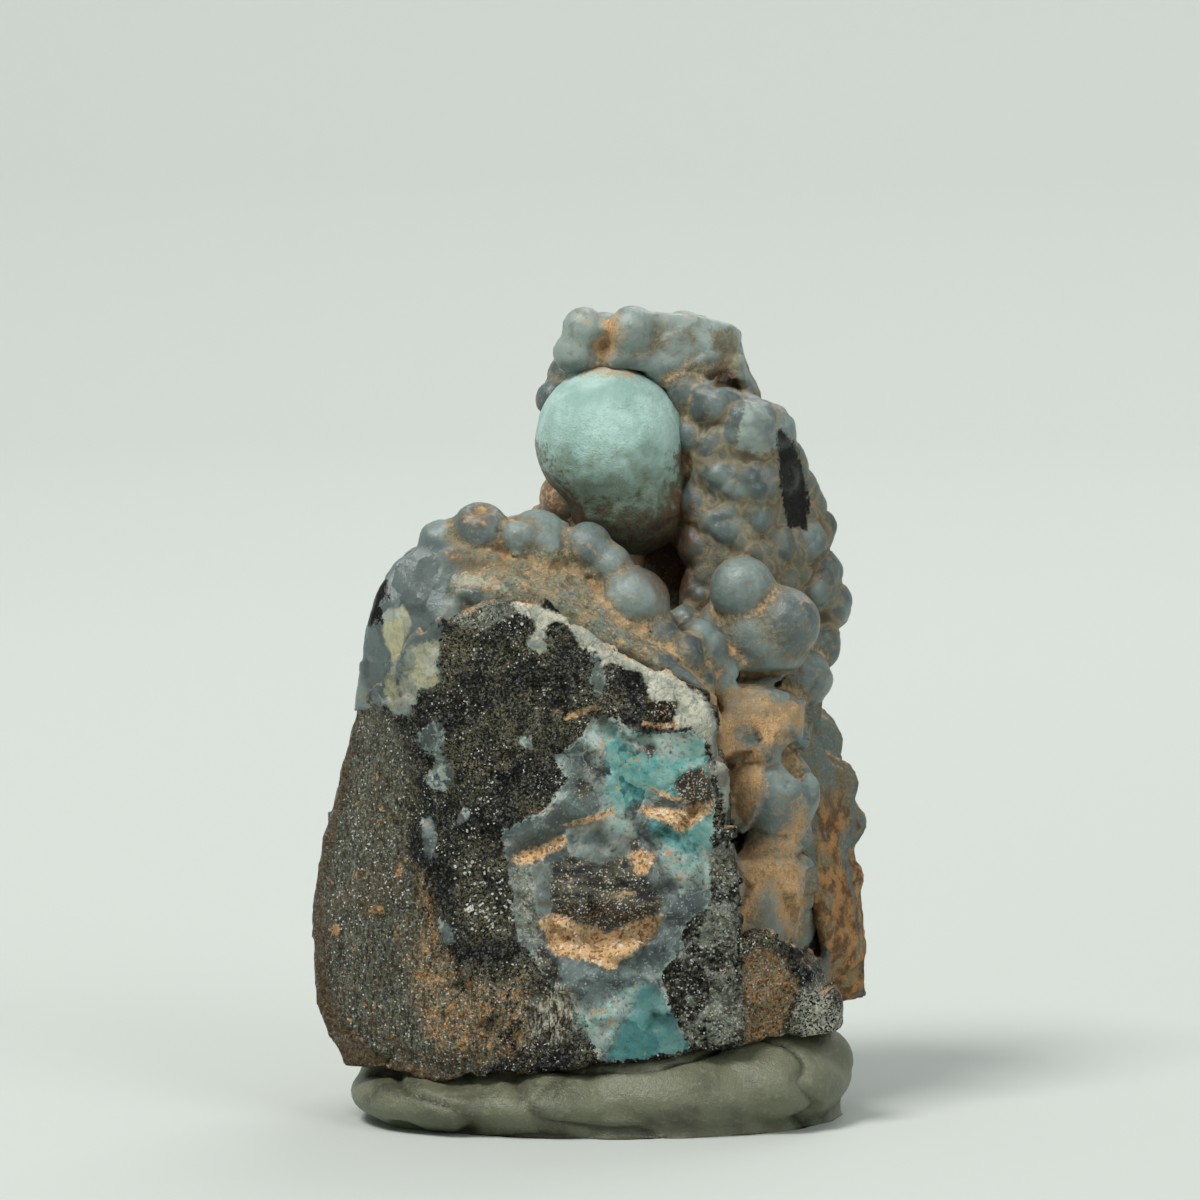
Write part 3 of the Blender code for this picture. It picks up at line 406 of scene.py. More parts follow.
BLACK_SHINE = [
    [(8.6, 31.0), (9.2, 30.4), (9.6, 29.2), (9.9, 27.8), (9.8, 26.6), (9.1, 26.7), (8.8, 28.3),
     (8.7, 29.9)],
    [(-9.6, 24.7), (-9.2, 24.4), (-9.1, 23.9), (-9.5, 23.8), (-9.7, 24.2)],
    [(-10.0, 23.7), (-9.5, 23.5), (-9.4, 22.8), (-10.0, 22.6)],
]
CAP_END = [
    [(5.5, 35.6), (6.5, 35.9), (6.9, 34.6), (6.9, 32.8), (6.5, 33.2), (5.3, 33.7), (4.9, 34.0),
     (6.0, 34.5), (5.5, 34.7)],
]
BALL_CREASE = [
    [(1.5, 27.3), (3.0, 26.9), (4.6, 27.8), (4.7, 23.3), (3.7, 23.3), (2.7, 24.6), (1.8, 25.5)],
]
SCARS = [
    [(-6.4, 25.9), (-5.5, 25.8), (-4.4, 25.5), (-4.9, 25.1), (-5.7, 25.1), (-6.3, 25.5)],
    [(-5.9, 27.5), (-5.2, 27.8), (-4.4, 27.6), (-4.6, 27.2), (-5.4, 27.2)],
    [(-4.1, 25.7), (-3.6, 25.5), (-3.6, 25.2), (-4.3, 25.5)],
]
SLIT = [
    [(5.1, 33.6), (5.6, 33.8), (6.3, 33.9), (6.7, 33.4), (6.9, 32.6), (6.5, 32.9), (6.0, 33.2),
     (5.4, 33.4)],
]
STREAK = [
    [(-6.2, 24.9), (-5.2, 25.0), (-4.1, 24.7), (-3.6, 24.3), (-4.8, 24.5), (-6.0, 24.5)],
]
FOOT_PALE = [
    [(9.3, 6.1), (10.2, 6.7), (11.4, 5.0), (11.5, 3.8), (9.8, 3.5), (8.5, 3.4), (9.0, 4.6)],
]

# Numbers on points


def lattice(cell, seed):
    """A random number from 0 to 1 for each whole-number place."""
    c = cell.astype(np.int64)
    h = (c[:, 0] * 374761393 + c[:, 1] * 668265263 + c[:, 2] * 1442695041 + seed * 974634777) & 0xFFFFFFFF
    h = ((h ^ (h >> 13)) * 1274126177) & 0xFFFFFFFF
    h = ((h ^ (h >> 15)) * 2246822519) & 0xFFFFFFFF
    return ((h ^ (h >> 16)) & 0xFFFFFF) / float(0xFFFFFF)


def noise(points, length, seed, octaves=1):
    """Smooth noise from -1 to 1 with the given wavelength."""
    total = np.zeros(len(points))
    weight = 1.0
    weights = 0.0
    for octave in range(octaves):
        p = points / length * 2.0 ** octave + seed * 17.31
        cell = np.floor(p)
        t = p - cell
        t = t * t * (3.0 - 2.0 * t)
        value = np.zeros(len(points))
        for corner in range(8):
            step = np.array((corner & 1, corner >> 1 & 1, corner >> 2 & 1))
            share = np.prod(np.where(step, t, 1.0 - t), axis=1)
            value += share * lattice(cell + step, seed + octave)
        total += weight * (value * 2.0 - 1.0)
        weights += weight
        weight *= 0.5
    return total / weights


def cells(points, length, seed):
    """Distances of the nearest and second cell, the way to the nearest, and its random numbers."""
    p = points / length
    home = np.floor(p)
    best = np.full(len(points), 9.0)
    second = np.full(len(points), 9.0)
    way = np.zeros_like(points)
    chosen = np.zeros_like(points)
    for i in (-1, 0, 1):
        for j in (-1, 0, 1):
            for k in (-1, 0, 1):
                cell = home + (i, j, k)
                jitter = np.stack([lattice(cell, seed + n) for n in range(3)], axis=1)
                offset = cell + jitter - p
                distance = np.linalg.norm(offset, axis=1)
                closer = distance < best
                second = np.where(closer, best, np.minimum(second, distance))
                best = np.where(closer, distance, best)
                way[closer] = offset[closer]
                chosen[closer] = cell[closer]
    draw = np.stack([lattice(chosen, seed + 10 + n) for n in range(3)], axis=1)
    return best * length, second * length, way * length, draw


def facets(points, length, seed):
    """How far the flat, tilted faces of broken cells stand out at each point."""
    _, _, way, draw = cells(points, length, seed)
    return (way * (draw - 0.5)).sum(axis=1)


def smooth_step(value, low, high):
    """0 below low, 1 above high, and an S between."""
    t = np.clip((value - low) / (high - low), 0.0, 1.0)
    return t * t * (3.0 - 2.0 * t)


def outline_distance(x, z, outline):
    """How far inside an outline each point is, negative outside."""
    points = np.stack((x, z), axis=1)
    nearest = np.full(len(x), 1e9)
    inside = np.zeros(len(x), bool)
    count = len(outline)
    for i in range(count):
        a = np.array(outline[i])
        b = np.array(outline[(i + 1) % count])
        along = b - a
        t = np.clip(((points - a) @ along) / max(along @ along, 1e-9), 0.0, 1.0)
        nearest = np.minimum(nearest, np.linalg.norm(points - a - t[:, None] * along, axis=1))
        crosses = (a[1] > z) != (b[1] > z)
        if a[1] != b[1]:
            inside ^= crosses & (x < a[0] + (z - a[1]) * along[0] / along[1])
    return np.where(inside, nearest, -nearest)


def zone(points, outlines, fade=FRONT):
    """Signed distance inside any of the outlines, dying out towards the back."""
    if isinstance(outlines[0][0], (int, float)):
        outlines = [outlines]
    x = points[:, 0]
    z = points[:, 2]
    value = np.max([outline_distance(x, z, outline) for outline in outlines], axis=0)
    depth, start = fade
    return np.clip(value, -3.0, 3.0) - np.maximum(points[:, 1] - start, 0.0) / depth


def zone_fields(points, rows):
    """The signed distances of a table of zones, by name."""
    return {name: zone(points, outlines, fade) for name, outlines, fade in rows}


def shelf(points, outline, depth, reach):
    """A ledge that slopes up and back inside the outline, under a recess that fades upwards."""
    x = points[:, 0]
    z = points[:, 2]
    top = np.full(len(x), -1e9)
    bottom = np.full(len(x), 1e9)
    count = len(outline)
    for i in range(count):
        a = outline[i]
        b = outline[(i + 1) % count]
        low, high = min(a[0], b[0]), max(a[0], b[0])
        if high - low < 1e-6:
            continue
        hit = (x >= low) & (x <= high)
        height = a[1] + (x - a[0]) * (b[1] - a[1]) / (b[0] - a[0])
        top = np.where(hit, np.maximum(top, height), top)
        bottom = np.where(hit, np.minimum(bottom, height), bottom)
    known = top > -1e8
    left = min(p[0] for p in outline)
    right = max(p[0] for p in outline)
    ends = smooth_step(np.minimum(x - left, right - x), 0.0, 0.5)
    inside = np.clip((z - bottom) / np.maximum(top - bottom, 0.15), 0.0, 1.0)
    above = np.exp(-np.maximum(z - top, 0.0) / reach)
    return np.where(known, -depth * ends * inside * above, 0.0)


# Meshes


def add_hull(bm, corners):
    """Adds the convex block that spans the corners."""
    verts = [bm.verts.new(corner) for corner in corners]
    made = bmesh.ops.convex_hull(bm, input=verts)
    inner = set(made["geom_interior"]) | set(made["geom_unused"])
    bmesh.ops.delete(bm, geom=[v for v in inner if isinstance(v, bmesh.types.BMVert)], context="VERTS")


def add_ball(bm, centre, radii, subdivisions=3):
    """Adds an ellipsoid."""
    made = bmesh.ops.create_icosphere(bm, subdivisions=subdivisions, radius=1.0)
    bmesh.ops.scale(bm, vec=radii, verts=made["verts"])
    bmesh.ops.translate(bm, vec=centre, verts=made["verts"])


def mesh_object(name, bm):
    """Turns a bmesh in millimetres into an object, still in millimetres."""
    bmesh.ops.recalc_face_normals(bm, faces=bm.faces)
    mesh = bpy.data.meshes.new(name)
    bm.to_mesh(mesh)
    bm.free()
    obj = bpy.data.objects.new(name, mesh)
    bpy.context.scene.collection.objects.link(obj)
    return obj


def bake_modifiers(obj):
    """Replaces an object's mesh by what its modifiers make of it."""
    graph = bpy.context.evaluated_depsgraph_get()
    mesh = bpy.data.meshes.new_from_object(obj.evaluated_get(graph))
    obj.modifiers.clear()
    old = obj.data
    obj.data = mesh
    bpy.data.meshes.remove(old)


def keep_largest(obj):
    """Removes the crumbs that a fuse or a cut leaves beside the main body."""
    bm = bmesh.new()
    bm.from_mesh(obj.data)
    unseen = set(bm.verts)
    bodies = []
    while unseen:
        body = [unseen.pop()]
        for vert in body:
            for edge in vert.link_edges:
                other = edge.other_vert(vert)
                if other in unseen:
                    unseen.remove(other)
                    body.append(other)
        bodies.append(body)
    bodies.sort(key=len, reverse=True)
    crumbs = [vert for body in bodies[1:] for vert in body]
    if crumbs:
        bmesh.ops.delete(bm, geom=crumbs, context="VERTS")
        bm.to_mesh(obj.data)
    bm.free()


def remesh(obj, voxel):
    """Fuses overlapping shapes into one skin of small faces."""
    modifier = obj.modifiers.new("fuse", "REMESH")
    modifier.mode = "VOXEL"
    modifier.voxel_size = voxel
    bake_modifiers(obj)
    keep_largest(obj)


def carve(obj, chips):
    """Takes ellipsoids out of an object, one at a time because they may overlap."""
    for centre, radii in chips:
        bm = bmesh.new()
        add_ball(bm, centre, radii)
        cutter = mesh_object("chip_cutter", bm)
        modifier = obj.modifiers.new("chips", "BOOLEAN")
        modifier.object = cutter
        modifier.operation = "DIFFERENCE"
        modifier.solver = "EXACT"
        bake_modifiers(obj)
        bpy.data.objects.remove(cutter)


def fused(name, blocks, lumps, voxel, subdivisions):
    """One skin round convex blocks and round lumps."""
    bm = bmesh.new()
    for block in blocks:
        add_hull(bm, block)
    for centre, radius in lumps:
        add_ball(bm, centre, (radius,) * 3, subdivisions)
    obj = mesh_object(name, bm)
    remesh(obj, voxel)
    return obj


def soften(obj, rounds):
    """Fills creases and rounds edges a little."""
    modifier = obj.modifiers.new("soften", "SMOOTH")
    modifier.factor = 0.5
    modifier.iterations = rounds
    bake_modifiers(obj)


def points_of(obj):
    """The places and normals of a mesh's points."""
    mesh = obj.data
    places = np.empty(len(mesh.vertices) * 3, np.float32)
    normals = np.empty(len(mesh.vertices) * 3, np.float32)
    mesh.vertices.foreach_get("co", places)
    mesh.vertex_normals.foreach_get("vector", normals)
    return places.reshape(-1, 3).astype(float), normals.reshape(-1, 3).astype(float)


def place_points(obj, places):
    obj.data.vertices.foreach_set("co", places.astype(np.float32).ravel())
    obj.data.update()


def edge_ends(obj):
    ends = np.empty(len(obj.data.edges) * 2, np.int64)
    obj.data.edges.foreach_get("vertices", ends)
    return ends.reshape(-1, 2)


def spread(values, ends, rounds):
    """Averages values over neighbouring points."""
    size = len(values)
    one, other = np.concatenate((ends, ends[:, ::-1])).T
    count = np.bincount(one, minlength=size) + 1.0
    columns = values.reshape(size, -1).T.copy()
    for _ in range(rounds):
        columns = np.array([(c + np.bincount(one, c[other], size)) / count for c in columns])
    return columns.T.reshape(values.shape)


def out_of(points, lumps):
    """How far outside each of the round lumps each point is."""
    return np.array([np.linalg.norm(points - np.array(c), axis=1) - radius for c, radius in lumps])


def hollowness(obj, rounds):
    """Positive in creases and negative on ridges, in millimetres."""
    places, normals = points_of(obj)
    ends = edge_ends(obj)
    smoothed = spread(places, ends, rounds)
    return ((smoothed - places) * normals).sum(axis=1)


def keep_fields(obj, fields):
    """Stores a number per point under each name, for the materials."""
    for name, values in fields.items():
        field = obj.data.attributes.new(name, "FLOAT", "POINT")
        field.data.foreach_set("value", np.asarray(values, np.float32))


def finish_piece(obj, node, material):
    """Brings a piece from millimetres into the frame, gives it its material, puts it under the root body
    and hides the solid of the part that it stands in for.
    """
    places, _ = points_of(obj)
    place_points(obj, (places - ORIGIN) * MM)
    obj.data.shade_smooth()
    obj.data.materials.clear()
    obj.data.materials.append(material)
    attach(obj, "root")
    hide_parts(node)


# Materials


class Value:
    """A node's output, which can be added, subtracted and multiplied like a number."""

    def __init__(self, shader, socket):
        self.shader = shader
        self.socket = socket

    def __add__(self, other):
        return self.shader.calc("ADD", self, other)

    def __sub__(self, other):
        return self.shader.calc("SUBTRACT", self, other)

    def __rsub__(self, other):
        return self.shader.calc("SUBTRACT", other, self)

    def __mul__(self, other):
        return self.shader.calc("MULTIPLY", self, other)

    def __abs__(self):
        return self.shader.calc("ABSOLUTE", self)


class Shader:
    """A material, and short ways to add nodes to it."""

    def __init__(self, name):
        self.material = bpy.data.materials.new(name)
        self.material.use_nodes = True
        self.tree = self.material.node_tree
        self.surface = self.tree.nodes["Principled BSDF"]
        self.place = self.vector("SCALE", self.node("TexCoord", {}, "Object"), 1.0 / MM)

    def put(self, socket, value):
        if isinstance(value, Value):
            self.tree.links.new(value.socket, socket)
        elif socket.type == "RGBA":
            socket.default_value = (*value, 1.0)
        else:
            socket.default_value = value

    def node(self, kind, inputs, output=0, **settings):
        """Adds a node, sets it up, and gives one of its outputs."""
        node = self.tree.nodes.new("ShaderNode" + kind)
        for name, setting in settings.items():
            setattr(node, name, setting)
        for socket, value in inputs.items():
            self.put(node.inputs[socket], value)
        return Value(self, node.outputs[output])

    def vector(self, operation, a, b):
        """Adds or subtracts two vectors, or scales one by a number."""
        second = "Scale" if operation == "SCALE" else 1
        return self.node("VectorMath", {0: a, second: b}, operation=operation)

    def calc(self, operation, a, b=0.0):
        return self.node("Math", {0: a, 1: b}, operation=operation)

    def most(self, first, *others):
        for other in others:
            first = self.calc("MAXIMUM", first, other)
        return first

    def noise(self, scale, detail=3.0, roughness=0.55, distortion=0.0, place=None):
        inputs = {"Vector": place or self.place, "Scale": scale, "Detail": detail}
        inputs.update({"Roughness": roughness, "Distortion": distortion})
        return self.node("TexNoise", inputs)

    def grain(self, scale, place=None):
        """A random colour for each grain, or for each shard where the places are bent."""
        return self.node("TexVoronoi", {"Vector": place or self.place, "Scale": scale}, "Color")

    def numbers(self, cell):
        """Three random numbers for each grain or shard."""
        split = self.node("SeparateColor", {0: cell}).socket.node
        return [Value(self, number) for number in split.outputs]

    def pushed(self, start, colour, amount):
        """A place or a normal, moved by how far a random colour is from grey."""
        push = self.vector("SUBTRACT", colour, (0.5, 0.5, 0.5))
        return self.vector("ADD", start, self.vector("SCALE", push, amount))

    def warped(self, scale, amount):
        """Places pushed about by noise, so that what is looked up by them has bent edges."""
        drift = self.node("TexNoise", {"Vector": self.place, "Scale": scale}, "Color")
        return self.pushed(self.place, drift, amount)

    def seam(self, scale, place, width):
        """Thin lines where angular pieces meet."""
        inputs = {"Vector": place, "Scale": scale}
        edge = self.node("TexVoronoi", inputs, "Distance", feature="DISTANCE_TO_EDGE")
        return self.step(edge, width, 0.0)

    def stretched(self, scale, turn=(0.0, 0.0, 0.0)):
        return self.node("Mapping", {"Vector": self.place, "Rotation": turn, "Scale": scale})

    def field(self, name):
        return self.node("Attribute", {}, "Fac", attribute_name=name)

    def step(self, value, low, high):
        inputs = {"Value": value, "From Min": low, "From Max": high}
        return self.node("MapRange", inputs, "Result", interpolation_type="SMOOTHSTEP")

    def blend(self, factor, a, b):
        return self.node("Mix", {0: factor, 6: a, 7: b}, 2, data_type="RGBA")

    def layers(self, colour, rows):
        """Lays tints over a colour, one after the other, each where its mask says."""
        for mask, tint in rows:
            colour = self.blend(mask, colour, tint)
        return colour

    def level(self, factor, a, b):
        return self.node("Mix", {0: factor, 2: a, 3: b})

    def up(self):
        return self.node("SeparateXYZ", {0: self.node("NewGeometry", {}, "Normal")}, "Z")

    def bump(self, height, distance, strength=1.0):
        inputs = {"Height": height, "Distance": distance * MM, "Strength": strength}
        return self.node("Bump", inputs, "Normal")

    def glitter(self, normal, cell, amount):
        """Turns the normal of each grain or shard its own way."""
        return self.node("VectorMath", {0: self.pushed(normal, cell, amount)}, operation="NORMALIZE")

    def shade(self, colour, roughness, normal, specular):
        self.put(self.surface.inputs["Base Color"], colour)
        self.put(self.surface.inputs["Roughness"], roughness)
        self.put(self.surface.inputs["Normal"], normal)
        self.put(self.surface.inputs["Specular IOR Level"], specular)
        return self.material


BLACK = (0.006, 0.006, 0.005)
IRON_GREY = (0.042, 0.044, 0.037)
ROCK_BROWN = (0.130, 0.085, 0.040)
FACET_GREY = (0.175, 0.170, 0.118)
FACET_DARK = (0.035, 0.031, 0.021)
SILVER = (0.62, 0.64, 0.58)
RUST_RED = (0.155, 0.060, 0.022)
BEVEL_BROWN = (0.085, 0.048, 0.024)
DUST_ORANGE = (0.56, 0.29, 0.105)
DUST_PALE = (0.66, 0.47, 0.26)
DUST_TAN = (0.30, 0.235, 0.130)
FILM_OLIVE = (0.215, 0.195, 0.118)
FILM_BROWN = (0.120, 0.092, 0.052)
FLANK_BROWN = (0.165, 0.088, 0.040)
TOWER_FILM = (0.105, 0.100, 0.066)
COAT_BROWN = (0.380, 0.215, 0.088)
# Painted shade in the deepest creases of the crust.
CREASE_SHADE_BROWN = (0.062, 0.050, 0.032)
SLOPE_TAN = (0.275, 0.255, 0.155)
CHALCEDONY_BLUE = (0.165, 0.215, 0.205)
CHALCEDONY_DARK = (0.040, 0.056, 0.056)
CHALCEDONY_DEEP = (0.042, 0.058, 0.061)
CHALCEDONY_PALE = (0.37, 0.44, 0.40)
CHALCEDONY_SMOKE = (0.120, 0.116, 0.084)
TURQUOISE_BRIGHT = (0.105, 0.350, 0.330)
TURQUOISE_DEEP = (0.022, 0.125, 0.130)
TURQUOISE_PALE = (0.27, 0.45, 0.40)
QUARTZ_WHITE = (0.62, 0.60, 0.48)
QUARTZ_GREY = (0.27, 0.29, 0.24)
CREAM_YELLOW = (0.43, 0.40, 0.23)
BALL_PALE = (0.42, 0.60, 0.56)
BALL_TURQUOISE = (0.270, 0.42, 0.375)
BALL_GREEN = (0.185, 0.240, 0.175)
BALL_OLIVE = (0.080, 0.083, 0.048)
# Painted shade on the ball's underside.
BALL_SHADE = (0.024, 0.021, 0.013)
# Painted shade in the cleft under the ball and in the cap's slit.
CLEFT_SHADE_BROWN = (0.060, 0.034, 0.019)
BALL_BROWN = (0.150, 0.066, 0.028)
PUTTY_GREY = (0.132, 0.138, 0.086)
PUTTY_DARK = (0.048, 0.049, 0.028)
FLOOR_PALE = (0.50, 0.53, 0.505)


def powder_colour(s, grit, tiny, grains):
    """Orange dust: bright, pale and rusty, with single grains where it lies thick."""
    colour = s.blend(s.step(tiny, 0.38, 0.62), DUST_ORANGE, DUST_PALE)
    return s.layers(colour, [
        (s.step(s.noise(0.9, 3.0, 0.6), 0.46, 0.66) * 0.5, FILM_OLIVE),
        (s.step(grit, 0.62, 0.9) * grains, RUST_RED),
        (s.step(grit, 0.12, 0.06) * grains, SILVER),
        (s.step(tiny, 0.4, 0.26) * grains, FACET_DARK),
    ])


def black_rock_colour(s, speckled):
    """Black iron oxide: tiny grains of black, grey and white, some brown, in blocks of their own tone."""
    bright, kind, _ = s.numbers(s.grain(16.0))
    large, _, _ = s.numbers(s.grain(9.0))
    shade = bright + (s.coarse - 0.5) * 0.7 + (s.block_tone - 0.5) * 0.35
    colour = s.blend(s.step(shade, 0.35, 0.85), BLACK, IRON_GREY)
    colour = s.blend(s.step(shade, 0.82, 1.05) * 0.8, colour, FACET_GREY)
    browned = s.step(s.noise(0.45, 3.0, 0.6), 0.46, 0.6) * s.step(kind, 0.35, 0.7)
    colour = s.layers(colour, [
        (browned * 0.7, FILM_OLIVE),
        (s.step(s.fine, 0.48, 0.38) * 0.8, BLACK),
    ])
    crowd = s.level(s.step(s.noise(0.6, 3.0), 0.44, 0.62), 0.99, 0.945)
    colour = s.blend(s.step(bright, crowd, crowd + 0.02), colour, SILVER)
    crowd = s.level(speckled, 0.997, 0.90)
    return s.blend(s.step(large, crowd, crowd + 0.01), colour, SILVER)


def weathered_colour(s):
    """The left facet: grey-brown grains in steep streaks, white sparks and orange spots."""
    streaks = s.noise(1.0, 4.0, 0.7, place=s.stretched((6.0, 6.0, 1.7), (0.0, 0.32, 0.0)))
    colour = s.blend(s.step(streaks, 0.38, 0.62), FACET_DARK, FACET_GREY)
    colour = s.layers(colour, [
        (s.step(s.noise(0.7, 3.0), 0.5, 0.36) * 0.5, FACET_DARK),
        (s.step(s.noise(0.45, 3.0, 0.6, 0.6), 0.48, 0.62) * 0.45, ROCK_BROWN),
        (s.step(s.tiny, 0.54, 0.38) * 0.8, FACET_DARK),
    ])
    small, small_kind, _ = s.numbers(s.grain(14.0))
    colour = s.layers(colour, [
        (s.step(small_kind, 0.75, 0.95) * 0.35, CHALCEDONY_PALE),
        (s.step(small, 0.965, 0.975) * s.step(s.tiny, 0.36, 0.46), SILVER),
    ])
    rusty = s.step(s.noise(1.1, 3.0, 0.6, place=s.stretched((1, 1, 1), (1, 2, 0))), 0.620, 0.68)
    return s.blend(rusty * 0.75, colour, DUST_ORANGE)


def chalcedony_colour(s):
    """Clear blue-grey chalcedony in shards, smoky and milky, with pale seams and small sparks."""
    tone = s.block_tone * 0.7 + s.cloud * 0.8
    colour = s.blend(s.step(tone, 0.42, 1.10), CHALCEDONY_DARK, CHALCEDONY_BLUE)
    wisp = s.noise(1.1, 4.0, 0.65, 1.2)
    colour = s.layers(colour, [
        (s.step(wisp, 0.5, 0.6) * 0.75, CHALCEDONY_SMOKE),
        (s.step(wisp, 0.44, 0.36) * 0.45, CHALCEDONY_PALE),
        (s.step(s.fine, 0.44, 0.34) * 0.6, FACET_DARK),
        (s.block_seam * 0.55, FACET_DARK),
    ])
    seams = s.block_seam * s.step(s.coarse, 0.48, 0.58)
    colour = s.blend(seams * 0.6, colour, CHALCEDONY_PALE)
    spark = s.step(s.small, 0.94, 0.98) * s.step(s.tiny, 0.42, 0.52)
    return s.blend(spark * 0.7, colour, CHALCEDONY_PALE)


def turquoise_colour(s):
    tone = s.noise(1.7, 4.0, 0.65, 0.6) * 0.75 + s.block_tone * 0.25
    colour = s.blend(s.step(tone, 0.34, 0.52), TURQUOISE_DEEP, TURQUOISE_BRIGHT)
    colour = s.blend(s.step(tone, 0.5, 0.66) * 0.85, colour, TURQUOISE_PALE)
    speck = s.step(s.noise(4.0, 3.0, 0.7), 0.60, 0.66)
    return s.blend(speck * 0.75, colour, DUST_ORANGE)


class RockShader(Shader):
    """The rock's shader, with the patterns that its colours share."""

    def __init__(self):
        super().__init__("dark_rock")
        self.coarse = self.noise(1.3, 4.0, 0.6)
        self.fine = self.noise(5.0, 4.0, 0.65)
        self.tiny = self.noise(17.0, 3.0, 0.75)
        self.cloud = self.noise(0.9, 4.0, 0.62, 0.8)
        self.shards = self.noise(1.6, 4.0, 0.65, 1.5)
        near = self.fine - 0.5
        around = (self.coarse - 0.5) * 0.8
        self.wobble = around + near * 0.7
        self.slight = near * 0.7
        self.front = self.field("front")
        self.grit, self.grain_tone, self.grain_kind = self.numbers(self.grain(8.5))
        self.small, self.small_tone, _ = self.numbers(self.grain(14.0))
        bent = self.warped(1.4, 0.9)
        self.block = self.grain(0.75, place=bent)
        self.block_tone, _, _ = self.numbers(self.block)
        self.block_seam = self.seam(0.75, bent, 0.035)

    def mask(self, name, wobbling, low=-0.04, high=0.04):
        """1 inside a zone of the face, with a ragged edge."""
        return self.step(self.field(name) + wobbling, low, high)


def rocky_colour(s):
    """The rock itself: black in front, weathered on the left facet and behind, brown along the bevel."""
    colour = black_rock_colour(s, s.mask("speckled", s.wobble, -0.2, 0.3))
    behind = s.step(s.noise(0.16, 3.0, 0.6, 0.4), 0.40, 0.50)
    facet = s.level(s.front, behind, s.mask("facet", s.wobble, -0.3, 0.3))
    colour = s.blend(facet, colour, weathered_colour(s))
    bevel = s.mask("bevel", s.slight, -0.05, 0.10)
    brown = s.blend(s.step(s.fine, 0.36, 0.62), BEVEL_BROWN, FILM_BROWN)
    brown = s.blend(s.step(s.tiny, 0.50, 0.34), brown, FACET_DARK)
    return s.blend(bevel * s.front, colour, brown)


def rust_colour(s, colour):
    """Rust among the grains of the lower face and on the right foot."""
    stained = s.most(s.mask("rust", s.wobble, -0.3, 0.5), s.mask("foot", s.wobble, -0.2, 0.3))
    stain = s.blend(s.step(s.fine, 0.38, 0.60), RUST_RED, DUST_ORANGE)
    stain = s.layers(stain, [
        (s.step(s.grain_kind, 0.45, 0.7), SLOPE_TAN),
        (s.step(s.small, 0.88, 0.95) * 0.9, SILVER),
        (s.step(s.tiny, 0.5, 0.36), FACET_DARK),
    ])
    patches = s.noise(1.0, 4.0, 0.68, 0.4, place=s.stretched((2.4, 2.4, 1.2), (0.0, -0.5, 0.0)))
    loose = s.step(s.grain_tone, 0.6, 0.8) * 0.7
    loose = s.most(s.step(patches, 0.44, 0.58), loose, s.mask("foot", s.wobble, -0.2, 0.3) * 0.8)
    return s.blend(stained * loose, colour, stain)


def film_colour(s, colour):
    """The right flank and the wall behind: a dull film, orange-brown low down and grey-green above."""
    high = s.step(s.field("high") + s.wobble * 2.0, -1.5, 1.5)
    low_film = s.blend(s.step(s.cloud, 0.46, 0.64), FLANK_BROWN, DUST_TAN)
    low_film = s.blend(s.step(s.coarse, 0.44, 0.6) * 0.8, low_film, DUST_ORANGE)
    streak = s.noise(0.8, 3.0, 0.6, 0.6, place=s.stretched((1.0, 1.0, 0.35)))
    low_film = s.blend(s.step(streak, 0.54, 0.62) * 0.8, low_film, CHALCEDONY_BLUE)
    high_film = s.blend(s.step(s.cloud, 0.40, 0.60), FILM_OLIVE, CHALCEDONY_BLUE)
    high_film = s.blend(s.step(s.fine, 0.56, 0.68) * 0.5, high_film, DUST_ORANGE)
    film = s.layers(s.blend(high, low_film, high_film), [
        (s.step(s.tiny, 0.46, 0.34) * 0.5, FACET_DARK),
        # Painted shade: dark brown in the cleft under the ball.
        (s.mask("cleft", s.slight, -0.4, 0.4), CLEFT_SHADE_BROWN),
    ])
    flank = s.step(s.field("flank") + s.wobble * 0.5, 0.3, 0.6)
    upper = s.field("high") + (s.cloud - 0.5) * 22.0
    upper = s.step(upper, 0.6, 1.4) * s.step(s.front, 0.3, 0.0)
    return s.blend(s.most(flank, upper * 0.9), colour, film)


